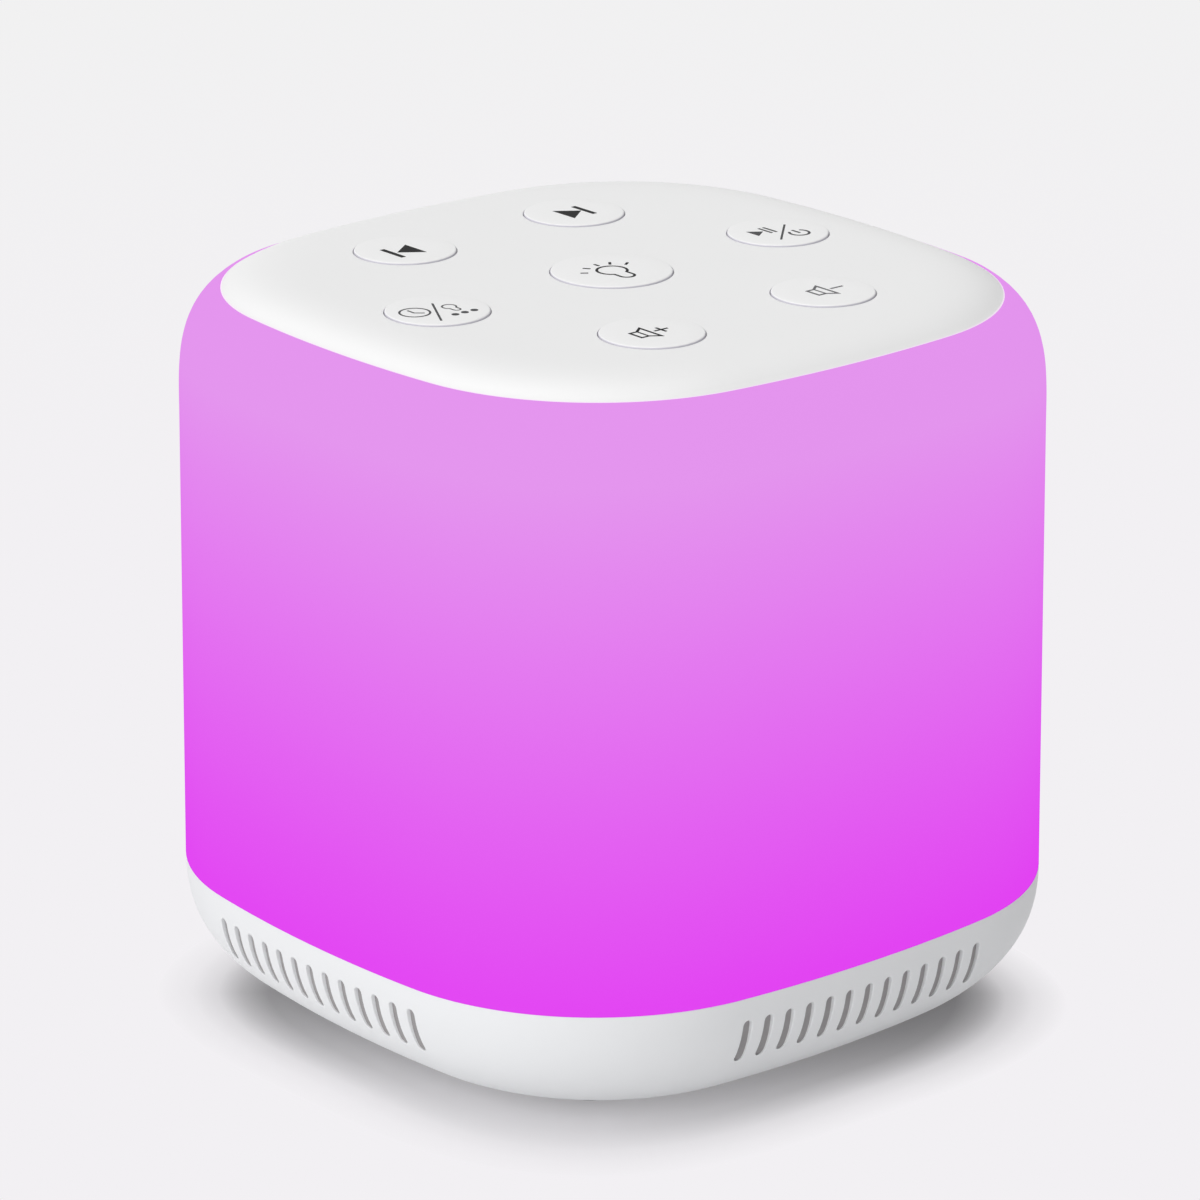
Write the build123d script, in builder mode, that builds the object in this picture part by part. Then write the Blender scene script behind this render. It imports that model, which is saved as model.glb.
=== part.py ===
from build123d import *
import os
from math import acos, asin, atan2, cos, degrees, hypot, radians, sin, sqrt

os.makedirs("parts", exist_ok=True)

# White noise sound machine: a bowed, round-cornered cube with a slotted base, a glowing
# diffuser and a key panel on top. Sizes are in millimetres. Z = 0 is the surface it
# stands on, +Z is up and -Y is the front, from which the key symbols read upright.

# Outer form, measured across the flats at the joint above the base
body_half = 50.0              # half the width
side_bow_radius = 186.6       # bow of each side
corner_radius = 32.5          # rounding of each corner
joint_z = 20.3                # joint between base and diffuser
underside_z = 2.0             # flat underside of the base, held up by the feet
base_curve_depth = 35.0       # inward run of the base curve, were it to reach the floor
base_curve_power = 2.42       # fullness of the base curve
side_lean = 0.5               # how far each side leans in between joint and shoulder
top_z = 99.1                  # flat top of the cover
shoulder_height = 17.9        # height of the rounded shoulder
shoulder_depth = 15.9         # inward run of the rounded shoulder
shoulder_power = 3.21         # fullness of the shoulder

# Walls, plates and fits
base_wall = 2.2
base_wall_rise = 0.8          # the inner skin of the base lies this much higher
base_floor = 2.2
diffuser_wall = 2.0
panel_thickness = 2.0
ledge_thickness = 1.8         # diffuser wall left above its inner shoulder
fit_gap = 0.2                 # clearance between housings that slip into each other
seat_gap = 0.3                # clearance of a part that only stands on its neighbour
screw_gap = 0.05              # clearance of a screw's thread in its pilot hole
curve_steps = 7               # spans between the sections of a rounded skin
fine_steps = 400              # spans used to measure along a skin's profile

# Slots of the base
slot_count = 13
slot_pitch = 3.26
slot_width = 1.2
slot_height = 6.1
slot_z = 14.2
mesh_thickness = 0.4
mesh_gap = 0.1
mesh_margin = 0.6             # how far the mesh reaches past the slots' ends

# Feet and case screws
foot_radius = 5.0
foot_sink = 0.8
foot_place = 22.0             # feet and case screws stand at +-X and +-Y of this
case_head_radius = 2.3
case_head_height = 1.6
case_head_z = 4.6
case_shank_radius = 1.25
pillar_radius = 3.8
boss_radius = 3.0
slot_cut_depth = 3.0          # how far a slot's cut reaches in past the base's wall

# Deck between base and diffuser
deck_thickness = 2.0
deck_sink = 0.3               # deck top below the joint
deck_boss_height = 5.0
deck_tab_width = 8.0
deck_tab_reach = 0.8
deck_tab_height = 1.0
skirt_wall = 1.4
ring_height = 1.7             # thick ring of the diffuser above the joint

# Small screws
small_head_radius = 1.7
small_head_height = 1.2
small_shank_radius = 1.0
small_boss_radius = 2.3
under_boss_height = 3.0

# Keys and their panel
key_ring_inset = 21.8         # ring of keys, in from the flats of the sides
key_radius = 6.6
centre_key_radius = 7.8
cap_gap = 0.2                 # radial gap around each cap
cap_proud = 0.25              # cap top above the cover
cap_edge = 0.25               # rounding of the cap's rim
key_travel = 0.5
flange_gap = 0.05
flange_thickness = 0.8
flange_overlap = 1.1
stem_radius = 2.2
stem_length = 3.0
plunger_radius = 1.7
plunger_gap = 0.05
plunger_proud = 1.0
plunger_length = 2.8
switch_size = 6.0
switch_height = 3.4
cover_ledge = 2.5             # width of the seat that carries the cover
cover_skirt_wall = 1.5
cover_skirt_depth = 6.0
hook_width = 10.0
hook_reach = 0.8
hook_height = 1.2

# Boards
board_thickness = 1.6
key_board_gap = 4.5           # from the board's edge to the cover's skirt
key_board_corner = 8.0
key_screw_inset = 7.0         # from the board's edge
key_screw_length = 6.0
led_board_thickness = 1.2
led_board_gap = 2.0           # from the deck's edge to the board's edge
led_board_width = 8.35        # ring's width at the middle of a side
led_inset = 3.85              # LED row, in from the board's edge
led_pitch = 15.0
led_row = 4
led_size = 3.5
led_height = 1.4
led_dome_radius = 1.2
led_dome_height = 0.3
led_screw_inset = 3.6         # in from the board's corners, along X and along Y
main_board_width = 34.0
main_board_depth = 30.0
main_board_rear_gap = 12.0    # from the board's rear to the flat of the side
main_board_z = 10.4
main_board_tab_width = 12.0
main_screw_x = 14.0
main_screw_inset = 3.0
standoff_radius = 2.4
chip_height = 1.2
capacitor_radius = 2.3
capacitor_height = 5.0
capacitor_x = 14.0
capacitor_y = 2.5             # behind the middle of the board

# USB-C socket
usb_width = 8.94
usb_height = 3.26
usb_wall = 0.3
usb_length = 7.35
usb_recess = 0.6
usb_tongue_width = 6.7
usb_tongue_height = 0.7
usb_tongue_inset = 0.8
usb_port_gap = 0.35

# Speaker: it faces down through the deck
speaker_frame_radius = 21.0
speaker_rim = 4.7             # width of the frame around its mouth
speaker_gasket_height = 0.5
speaker_flange_height = 1.5
speaker_screw_inset = 1.9     # from the frame's edge
basket_depth = 8.0
basket_wall = 1.0
basket_draft = 4.8            # how much narrower the basket is at its back
basket_window_width = 9.0
top_plate_height = 2.0
magnet_height = 5.0
back_plate_height = 2.0
magnet_radius = 13.0
magnet_bore_radius = 7.0
plate_radius = 12.0
pole_radius = 4.2
pole_clear = 0.35             # air gap on each side of the voice coil
coil_wall = 0.5
coil_length = 7.6
coil_rise = 5.0               # coil's lower end above the deck
surround_width = 2.5          # from the cone's edge to the frame's mouth
cone_depth = 4.4
cone_wall = 0.5
cap_seat_radius = 6.4
cap_bulge = 1.6
surround_wall = 0.4
spider_wall = 0.3
spider_gap = 0.9
spider_fold = 0.6             # height of the spider's folds
spider_folds = 6
glue_gap = 0.1                # room for glue between cone or coil and what springs it
chamber_gap = 1.5             # around the speaker's frame
chamber_wall = 1.8
chamber_height = 26.0
chamber_flange_width = 3.5
chamber_flange_height = 2.0
chamber_ear_radius = 3.2
chamber_ear_reach = 1.0       # screws of the chamber, out from its flange
terminal_width = 6.0
terminal_depth = 2.4
terminal_height = 1.2
terminal_overhang = 1.0       # past the frame's edge

# Cables and connectors
conduit_gap = 0.8             # from the chamber's flange
conduit_radius = 4.0
conduit_bore_radius = 3.2
conduit_collar_wall = 1.2
conduit_collar_height = 4.0
ribbon_width = 6.0
ribbon_thickness = 0.6
connector_width = 9.0
connector_depth = 4.0
connector_height = 3.5
wire_radius = 0.45
wire_pitch = 2.4
speaker_wire_gap = 0.15       # from the frame's edge
led_wire_x = 9.5
led_wire_inset = 2.5          # from the main board's rear
wire_hole_radius = 1.1

# Battery
battery_width = 34.0
battery_height = 7.0
battery_inset = 16.0          # from its front to the flat of the side
battery_lead_length = 6.0
battery_edge = 1.5
battery_pad_height = 0.8
cradle_wall = 1.2
cradle_height = 4.0

# Heights and half widths that follow from the sizes above
floor_z = underside_z + base_floor
shoulder_z = top_z - shoulder_height
seam_z = top_z - panel_thickness
deck_top_z = joint_z - deck_sink
deck_z = deck_top_z - deck_thickness
base_cavity_half = body_half - base_wall
mesh_reach = slot_height / 2 + mesh_margin
skirt_z = slot_z + mesh_reach + fit_gap
flange_top_z = seam_z - flange_gap
flange_z = flange_top_z - flange_thickness
plunger_top_z = flange_z - stem_length
switch_top_z = plunger_top_z - plunger_proud
key_board_top_z = switch_top_z - switch_height
key_board_z = key_board_top_z - board_thickness
main_board_top_z = main_board_z + board_thickness
led_board_top_z = deck_top_z + led_board_thickness
usb_z = main_board_top_z + usb_height / 2
key_ring_radius = body_half - key_ring_inset
main_board_rear_y = body_half - main_board_rear_gap
main_board_front_y = main_board_rear_y - main_board_depth
main_board_y = (main_board_front_y + main_board_rear_y) / 2
battery_front_y = -(body_half - battery_inset)
battery_rear_y = main_board_front_y - battery_lead_length
battery_length = battery_rear_y - battery_front_y
speaker_mouth_radius = speaker_frame_radius - speaker_rim
speaker_screw_radius = speaker_frame_radius - speaker_screw_inset
speaker_wire_y = speaker_frame_radius + speaker_wire_gap + wire_radius
chamber_radius = speaker_frame_radius + chamber_gap
chamber_flange_radius = chamber_radius + chamber_flange_width
chamber_screw_radius = chamber_flange_radius + chamber_ear_reach
conduit_y = chamber_flange_radius + conduit_gap + conduit_radius
led_wire_y = main_board_rear_y - led_wire_inset


def base_level(turn):
    """Height on the base curve, by its turn from upright (0) towards flat (90)."""
    return joint_z * (1 - sin(radians(turn)) ** (2 / base_curve_power))


def base_half(turn):
    """Half width on the base curve, by the same turn."""
    return body_half - base_curve_depth * (1 - cos(radians(turn)) ** (2 / base_curve_power))


def base_turn(z):
    """Turn of the base curve at a height."""
    return degrees(asin(((joint_z - z) / joint_z) ** (base_curve_power / 2)))


def shoulder_level(turn, height=shoulder_height):
    """Height on the shoulder curve, by its turn from upright (0) to flat (90)."""
    return shoulder_z + height * sin(radians(turn)) ** (2 / shoulder_power)


def shoulder_half(turn):
    """Half width on the shoulder curve, by the same turn."""
    run = shoulder_depth * (1 - cos(radians(turn)) ** (2 / shoulder_power))
    return body_half - side_lean - run


def even_turns(half, level, start, stop):
    """Turns from start to stop that cut a skin's profile into spans of equal length."""
    fine = [start + (stop - start) * i / fine_steps for i in range(fine_steps + 1)]
    marks = [(half(turn), level(turn)) for turn in fine]
    lengths = [0.0]
    for (x0, z0), (x1, z1) in zip(marks, marks[1:]):
        lengths.append(lengths[-1] + hypot(x1 - x0, z1 - z0))
    goals = [lengths[-1] * i / curve_steps for i in range(curve_steps + 1)]
    return [fine[min(range(len(fine)), key=lambda i: abs(lengths[i] - goal))] for goal in goals]


def cavity_half(z):
    """Half width of the base's inside at a height."""
    return base_half(base_turn(z - base_wall_rise)) - base_wall


def base_turns(start_z, stop_z):
    """Evenly spread turns of the base curve between two heights."""
    return even_turns(base_half, base_level, base_turn(start_z), base_turn(stop_z))


def shoulder_turns(start, stop):
    """Evenly spread turns of the shoulder curve."""
    return even_turns(shoulder_half, shoulder_level, start, stop)


def square_points(reach):
    """The four points at +-X and +-Y of one reach."""
    return [(x, y) for x in (-reach, reach) for y in (-reach, reach)]


def polar_points(radius, angles):
    """Points on a circle at the given angles in degrees."""
    return [(radius * cos(radians(a)), radius * sin(radians(a))) for a in angles]


def outline_arcs(half):
    """Radii of the bow and the corner of an outline, and where their centres stand."""
    scale = half / body_half
    bow = side_bow_radius * scale
    corner = corner_radius * scale
    side_centre = half - bow
    corner_centre = (side_centre + sqrt(2 * (bow - corner) ** 2 - side_centre**2)) / 2
    return bow, corner, side_centre, corner_centre


def corner_place(half):
    """X, and Y, of the point where an outline's corner crosses the diagonal."""
    _, corner, _, corner_centre = outline_arcs(half)
    return corner_centre + corner * cos(radians(45))


def outline(half, z):
    """Outline of eight tangent arcs, four bowed sides and four corners, as a face at z."""
    bow, corner, side_centre, corner_centre = outline_arcs(half)
    tangent = degrees(atan2(corner_centre, corner_centre - side_centre))
    with BuildSketch(Plane.XY.offset(z)) as shape:
        with BuildLine():
            for turn in range(0, 360, 90):
                side_at = Vector(side_centre, 0).rotate(Axis.Z, turn)
                corner_at = Vector(corner_centre, corner_centre).rotate(Axis.Z, turn)
                CenterArc(side_at, bow, turn - tangent, 2 * tangent)
                CenterArc(corner_at, corner, turn + tangent, 90 - 2 * tangent)
        make_face()
    return shape.sketch


def discs(radius, z, points=((0, 0),)):
    """One round face at each point, at height z."""
    with BuildSketch(Plane.XY.offset(z)) as shape:
        with Locations(*points):
            Circle(radius)
    return shape.sketch


def pads(width, depth, z, points=((0, 0),)):
    """One rectangular face at each point, at height z."""
    with BuildSketch(Plane.XY.offset(z)) as shape:
        with Locations(*points):
            Rectangle(width, depth)
    return shape.sketch


def side_plane(turn, reach, z):
    """Plane that looks out of one side: 0 front, 90 right, 180 rear, 270 left."""
    outward = Vector(0, -1, 0).rotate(Axis.Z, turn)
    along = Vector(1, 0, 0).rotate(Axis.Z, turn)
    return Plane(origin=outward * reach + Vector(0, 0, z), x_dir=along, z_dir=outward)


def write(part, name):
    """Label one finished sub-part and write it to its own file."""
    part.label = name
    export_step(part, f"parts/{name}.step")


# ---------------------------------------------------------------- base
foot_points = square_points(foot_place)
skirt_half = cavity_half(skirt_z) - fit_gap
skirt_inner_half = skirt_half - skirt_wall
deck_half = skirt_inner_half - fit_gap
led_board_half = deck_half - led_board_gap
led_board_hole_radius = led_board_half - led_board_width
led_place = led_board_half - led_inset
usb_port_width = usb_width + 2 * usb_port_gap
usb_port_height = usb_height + 2 * usb_port_gap
usb_mouth_y = base_half(base_turn(usb_z)) - usb_recess
usb_back_y = usb_mouth_y - usb_length
slot_xs = [slot_pitch * (i - (slot_count - 1) / 2) for i in range(slot_count)]
port_clear = usb_port_width / 2 + slot_width
case_head_top_z = case_head_z + case_head_height
pillar_top_z = deck_z
main_screw_points = [
    (x, y)
    for x in (-main_screw_x, main_screw_x)
    for y in (main_board_front_y + main_screw_inset, main_board_rear_y - main_screw_inset)
]
battery_y = (battery_front_y + battery_rear_y) / 2
cradle_x = battery_width / 2 + seat_gap + cradle_wall / 2

with BuildPart() as base_shell:
    loft([outline(base_half(t), base_level(t)) for t in base_turns(underside_z, joint_z)])
    cavity_turns = base_turns(floor_z - base_wall_rise, joint_z)
    loft(
        [outline(base_half(t) - base_wall, base_level(t) + base_wall_rise) for t in cavity_turns],
        mode=Mode.SUBTRACT,
    )
    for turn in (0, 90, 180, 270):
        xs = [x for x in slot_xs if turn != 180 or abs(x) > port_clear]
        with BuildSketch(side_plane(turn, base_cavity_half - slot_cut_depth, slot_z)):
            with Locations(*[(x, 0) for x in xs]):
                SlotOverall(slot_height, slot_width, rotation=90)
        extrude(amount=body_half - base_cavity_half + slot_cut_depth, mode=Mode.SUBTRACT)
    with BuildSketch(side_plane(180, usb_back_y, usb_z)):
        RectangleRounded(usb_port_width, usb_port_height, usb_port_height / 2 - fit_gap)
    extrude(amount=body_half - usb_back_y, mode=Mode.SUBTRACT)
    extrude(discs(pillar_radius, floor_z, foot_points), amount=pillar_top_z - floor_z)
    extrude(discs(standoff_radius, floor_z, main_screw_points), amount=main_board_z - floor_z)
    extrude(
        pads(cradle_wall, battery_length, floor_z, [(-cradle_x, battery_y), (cradle_x, battery_y)]),
        amount=cradle_height,
    )
    extrude(discs(foot_radius + fit_gap, underside_z, foot_points), amount=foot_sink, mode=Mode.SUBTRACT)
    extrude(
        discs(case_head_radius + fit_gap, underside_z, foot_points),
        amount=case_head_top_z - underside_z,
        mode=Mode.SUBTRACT,
    )
    extrude(
        discs(case_shank_radius + fit_gap, underside_z, foot_points),
        amount=pillar_top_z - underside_z,
        mode=Mode.SUBTRACT,
    )
    extrude(
        discs(small_shank_radius + screw_gap, floor_z + base_wall, main_screw_points),
        amount=main_board_z - floor_z,
        mode=Mode.SUBTRACT,
    )
write(base_shell.part, "base_shell")

with BuildPart() as feet:
    extrude(discs(foot_radius, 0, foot_points), amount=underside_z + foot_sink)
    fillet(feet.edges().group_by(Axis.Z)[0], radius=foot_sink)
write(feet.part, "feet")

# The mesh lines the cavity behind the slots and is cut away around the USB socket.
mesh_turns = base_turns(slot_z - mesh_reach - base_wall_rise, slot_z + mesh_reach - base_wall_rise)
mesh_half = base_wall + mesh_gap

with BuildPart() as acoustic_mesh:
    loft([outline(base_half(t) - mesh_half, base_level(t) + base_wall_rise) for t in mesh_turns])
    inner = [
        outline(base_half(t) - mesh_half - mesh_thickness, base_level(t) + base_wall_rise)
        for t in mesh_turns
    ]
    loft(inner, mode=Mode.SUBTRACT)
    with BuildSketch(side_plane(180, usb_back_y, slot_z)):
        Rectangle(main_board_tab_width + 2 * usb_port_gap, 2 * slot_height)
    extrude(amount=body_half - usb_back_y, mode=Mode.SUBTRACT)
write(acoustic_mesh.part, "acoustic_mesh")

# ---------------------------------------------------------------- deck
speaker_screw_points = polar_points(speaker_screw_radius, (45, 135, 225, 315))
chamber_screw_points = polar_points(chamber_screw_radius, (30, 150, 270))
led_screw_points = square_points(corner_place(led_board_half) - led_screw_inset)
case_tip_z = deck_top_z + deck_boss_height - fit_gap
led_wire_points = [(led_wire_x + i * wire_pitch / 2, led_wire_y) for i in (-1, 0, 1)]
speaker_wire_points = [(-wire_pitch / 2, speaker_wire_y), (wire_pitch / 2, speaker_wire_y)]
collar_radius = conduit_radius + fit_gap + conduit_collar_wall
under_boss_points = speaker_screw_points + chamber_screw_points + led_screw_points

with BuildPart() as deck:
    extrude(outline(deck_half, deck_z), amount=deck_thickness)
    extrude(discs(boss_radius, deck_top_z, foot_points), amount=deck_boss_height)
    extrude(discs(small_boss_radius, deck_z, under_boss_points), amount=-under_boss_height)
    extrude(discs(collar_radius, deck_top_z, [(0, conduit_y)]), amount=conduit_collar_height)
    for turn in (0, 90, 180, 270):
        with BuildSketch(side_plane(turn, deck_half - deck_tab_reach, deck_z + deck_thickness / 2)):
            Rectangle(deck_tab_width, deck_tab_height)
        extrude(amount=2 * deck_tab_reach)
    extrude(discs(conduit_radius + fit_gap, deck_top_z, [(0, conduit_y)]),
            amount=conduit_collar_height, mode=Mode.SUBTRACT)
    extrude(discs(chamber_flange_radius + seat_gap, deck_top_z), amount=chamber_flange_height,
            mode=Mode.SUBTRACT)
    extrude(discs(speaker_mouth_radius, deck_z), amount=deck_thickness, mode=Mode.SUBTRACT)
    extrude(pads(ribbon_width + 2 * seat_gap, ribbon_thickness + 2 * seat_gap, deck_z, [(0, conduit_y)]),
            amount=deck_thickness, mode=Mode.SUBTRACT)
    extrude(discs(wire_hole_radius, deck_z, speaker_wire_points + led_wire_points),
            amount=deck_thickness, mode=Mode.SUBTRACT)
    extrude(discs(case_shank_radius + screw_gap, deck_z, foot_points),
            amount=deck_thickness + deck_boss_height, mode=Mode.SUBTRACT)
    extrude(discs(small_shank_radius + screw_gap, deck_top_z, under_boss_points),
            amount=-(deck_thickness + under_boss_height), mode=Mode.SUBTRACT)
write(deck.part, "deck")

with BuildPart() as case_screws:
    extrude(discs(case_head_radius, case_head_z, foot_points), amount=case_head_height)
    extrude(discs(case_shank_radius, case_head_top_z, foot_points), amount=case_tip_z - case_head_top_z)
    for x, y in foot_points:
        with BuildSketch(Plane.XY.offset(case_head_z)):
            with Locations((x, y)):
                RegularPolygon(case_head_radius / 2, 6)
        extrude(amount=case_head_height / 2, mode=Mode.SUBTRACT)
write(case_screws.part, "case_screws")

# ---------------------------------------------------------------- diffuser
seam_turn = degrees(asin(((seam_z - shoulder_z) / shoulder_height) ** (shoulder_power / 2)))
seam_half = shoulder_half(seam_turn)
ledge_half = seam_half - cover_ledge
cover_skirt_half = ledge_half - fit_gap
inner_shoulder_height = seam_z - ledge_thickness - shoulder_z
ring_top_z = joint_z + ring_height


def inner_turn(half):
    """Turn at which the diffuser's inner shoulder has a half width."""
    run = (shoulder_half(0) - diffuser_wall - half) / shoulder_depth
    return degrees(acos((1 - run) ** (shoulder_power / 2)))


with BuildPart() as diffuser:
    loft([outline(body_half, joint_z), outline(shoulder_half(0), shoulder_z)], ruled=True)
    loft([outline(shoulder_half(t), shoulder_level(t)) for t in shoulder_turns(0, seam_turn)])
    extrude(outline(skirt_half, skirt_z), amount=joint_z - skirt_z)
    ring_half = body_half - side_lean * ring_height / (shoulder_z - joint_z)
    loft(
        [
            outline(ring_half - diffuser_wall, ring_top_z),
            outline(shoulder_half(0) - diffuser_wall, shoulder_z),
        ],
        ruled=True,
        mode=Mode.SUBTRACT,
    )
    loft(
        [
            outline(shoulder_half(t) - diffuser_wall, shoulder_level(t, inner_shoulder_height))
            for t in shoulder_turns(0, inner_turn(ledge_half))
        ],
        mode=Mode.SUBTRACT,
    )
    extrude(outline(skirt_inner_half, skirt_z), amount=ring_top_z - skirt_z, mode=Mode.SUBTRACT)
    ledge_z = shoulder_level(inner_turn(ledge_half), inner_shoulder_height)
    extrude(outline(ledge_half, ledge_z), amount=seam_z - ledge_z, mode=Mode.SUBTRACT)
    for turn in (0, 90, 180, 270):
        with BuildSketch(side_plane(turn, skirt_inner_half - fit_gap, deck_z + deck_thickness / 2)):
            Rectangle(deck_tab_width + 2 * fit_gap, deck_tab_height + 2 * fit_gap)
        extrude(amount=deck_tab_reach + fit_gap, mode=Mode.SUBTRACT)
write(diffuser.part, "diffuser")

# ---------------------------------------------------------------- key panel
key_angles = {
    "play_power": 0,
    "next": 60,
    "previous": 120,
    "timer": 180,
    "volume_up": 240,
    "volume_down": 300,
}
key_places = {
    name: (key_ring_radius * cos(radians(angle)), key_ring_radius * sin(radians(angle)))
    for name, angle in key_angles.items()
}
ring_points = list(key_places.values())
key_places["light"] = (0.0, 0.0)
key_points = list(key_places.values())
key_board_half = cover_skirt_half - cover_skirt_wall - key_board_gap
key_screw_points = square_points(key_board_half - key_screw_inset)
key_screw_top_z = key_board_z + key_screw_length
hook_half = cover_skirt_half + hook_reach
hook_top_z = shoulder_level(inner_turn(hook_half), inner_shoulder_height) - fit_gap

with BuildPart() as top_cover:
    loft([outline(shoulder_half(t), shoulder_level(t)) for t in shoulder_turns(seam_turn, 90)])
    extrude(outline(cover_skirt_half, seam_z), amount=-cover_skirt_depth)
    extrude(
        outline(cover_skirt_half - cover_skirt_wall, seam_z),
        amount=-cover_skirt_depth,
        mode=Mode.SUBTRACT,
    )
    extrude(discs(boss_radius, seam_z, key_screw_points), amount=key_board_top_z - seam_z)
    for turn in (0, 90, 180, 270):
        with BuildSketch(side_plane(turn, cover_skirt_half - cover_skirt_wall, hook_top_z)):
            Rectangle(hook_width, hook_height, align=(Align.CENTER, Align.MAX))
        extrude(amount=cover_skirt_wall + hook_reach)
    for radius, points in ((key_radius, ring_points), (centre_key_radius, [(0, 0)])):
        extrude(
            discs(radius + cap_gap, seam_z, points), amount=2 * panel_thickness, mode=Mode.SUBTRACT
        )
    extrude(
        discs(small_shank_radius + screw_gap, key_board_top_z, key_screw_points),
        amount=key_screw_top_z + fit_gap - key_board_top_z,
        mode=Mode.SUBTRACT,
    )
write(top_cover.part, "top_cover")


def build_key(name, radius):
    """Cap with its retaining flange and stem, and the switch plunger under it."""
    at = [key_places[name]]
    with BuildPart() as key:
        extrude(discs(radius, flange_top_z, at), amount=top_z + cap_proud - flange_top_z)
        fillet(key.edges().group_by(Axis.Z)[-1], radius=cap_edge)
        extrude(discs(radius + cap_gap + flange_overlap, flange_z, at), amount=flange_thickness)
        extrude(discs(stem_radius, plunger_top_z, at), amount=stem_length)
    write(key.part, f"key_{name}")
    with BuildPart() as plunger:
        extrude(discs(plunger_radius, plunger_top_z - plunger_length, at), amount=plunger_length)
    write(plunger.part, f"plunger_{name}")


for key_name in key_places:
    build_key(key_name, centre_key_radius if key_name == "light" else key_radius)

with BuildPart() as switch_housings:
    extrude(pads(switch_size, switch_size, key_board_top_z, key_points), amount=switch_height)
    fillet(switch_housings.edges().filter_by(Axis.Z), radius=fit_gap)
    extrude(
        discs(plunger_radius + plunger_gap, switch_top_z, key_points),
        amount=-(plunger_length - plunger_proud + key_travel + plunger_gap),
        mode=Mode.SUBTRACT,
    )
write(switch_housings.part, "switch_housings")

with BuildPart() as key_board:
    with BuildSketch(Plane.XY.offset(key_board_z)):
        RectangleRounded(2 * key_board_half, 2 * key_board_half, key_board_corner)
    extrude(amount=board_thickness)
    extrude(
        discs(small_shank_radius + screw_gap, key_board_z, key_screw_points),
        amount=board_thickness,
        mode=Mode.SUBTRACT,
    )
write(key_board.part, "key_board")


def build_small_screws(name, points, seat_z, length, down=True):
    """Pan-head screws with a cross recess: head on the seat, shank the other way."""
    head_way = 1 if down else -1
    with BuildPart() as screws:
        extrude(discs(small_head_radius, seat_z, points), amount=head_way * small_head_height)
        extrude(discs(small_shank_radius, seat_z, points), amount=-head_way * length)
        crown_z = seat_z + head_way * small_head_height
        slot = small_head_radius / 4
        for size in ((small_head_radius, slot), (slot, small_head_radius)):
            extrude(
                pads(*size, crown_z, points),
                amount=-head_way * small_head_height / 2,
                mode=Mode.SUBTRACT,
            )
    write(screws.part, name)


build_small_screws("key_board_screws", key_screw_points, key_board_z, key_screw_length, down=False)

with BuildPart() as key_board_connector:
    extrude(
        pads(connector_width, connector_depth, key_board_z, [(0, conduit_y)]), amount=-connector_height
    )
write(key_board_connector.part, "key_board_connector")

# ---------------------------------------------------------------- cable between the boards
ribbon_top_z = key_board_z - connector_height
ribbon_z = main_board_top_z + connector_height
conduit_height = ribbon_top_z - seat_gap - deck_top_z

with BuildPart() as cable_conduit:
    extrude(discs(conduit_radius, deck_top_z, [(0, conduit_y)]), amount=conduit_height)
    extrude(
        discs(conduit_bore_radius, deck_top_z, [(0, conduit_y)]),
        amount=conduit_height,
        mode=Mode.SUBTRACT,
    )
write(cable_conduit.part, "cable_conduit")

with BuildPart() as ribbon_cable:
    extrude(
        pads(ribbon_width, ribbon_thickness, ribbon_z, [(0, conduit_y)]), amount=ribbon_top_z - ribbon_z
    )
write(ribbon_cable.part, "ribbon_cable")

# ---------------------------------------------------------------- light
led_xs = [led_pitch * (i - (led_row - 1) / 2) for i in range(led_row)]
led_points = [(x, y) for x in led_xs for y in (-led_place, led_place)]
led_points += [(x, y) for y in led_xs for x in (-led_place, led_place)]

with BuildPart() as led_board:
    extrude(outline(led_board_half, deck_top_z), amount=led_board_thickness)
    extrude(discs(led_board_hole_radius, deck_top_z), amount=led_board_thickness, mode=Mode.SUBTRACT)
    extrude(
        discs(collar_radius + seat_gap, deck_top_z, [(0, conduit_y)]),
        amount=led_board_thickness,
        mode=Mode.SUBTRACT,
    )
    extrude(
        discs(boss_radius + seat_gap, deck_top_z, foot_points),
        amount=led_board_thickness,
        mode=Mode.SUBTRACT,
    )
    extrude(
        discs(small_shank_radius + screw_gap, deck_top_z, led_screw_points),
        amount=led_board_thickness,
        mode=Mode.SUBTRACT,
    )
write(led_board.part, "led_board")

with BuildPart() as leds:
    extrude(pads(led_size, led_size, led_board_top_z, led_points), amount=led_height)
    extrude(discs(led_dome_radius, led_board_top_z + led_height, led_points), amount=led_dome_height)
write(leds.part, "leds")

build_small_screws(
    "led_board_screws",
    led_screw_points,
    led_board_top_z,
    led_board_thickness + deck_thickness + base_wall,
)

with BuildPart() as led_leads:
    extrude(discs(wire_radius, main_board_top_z, led_wire_points), amount=deck_top_z - main_board_top_z)
write(led_leads.part, "led_leads")

# ---------------------------------------------------------------- speaker
gasket_top_z = deck_top_z + speaker_gasket_height
flange_seat_z = gasket_top_z + speaker_flange_height
basket_top_z = flange_seat_z + basket_depth
plate_top_z = basket_top_z + top_plate_height
magnet_top_z = plate_top_z + magnet_height
basket_back_radius = speaker_mouth_radius - basket_draft
cone_radius = speaker_mouth_radius - surround_width
coil_inner_radius = pole_radius + pole_clear
coil_radius = coil_inner_radius + coil_wall
gap_radius = coil_radius + pole_clear
coil_z = deck_top_z + coil_rise
cone_mouth_z = gasket_top_z + speaker_flange_height / 2
cone_neck_z = cone_mouth_z + cone_depth
spider_z = cone_neck_z + spider_gap

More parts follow.
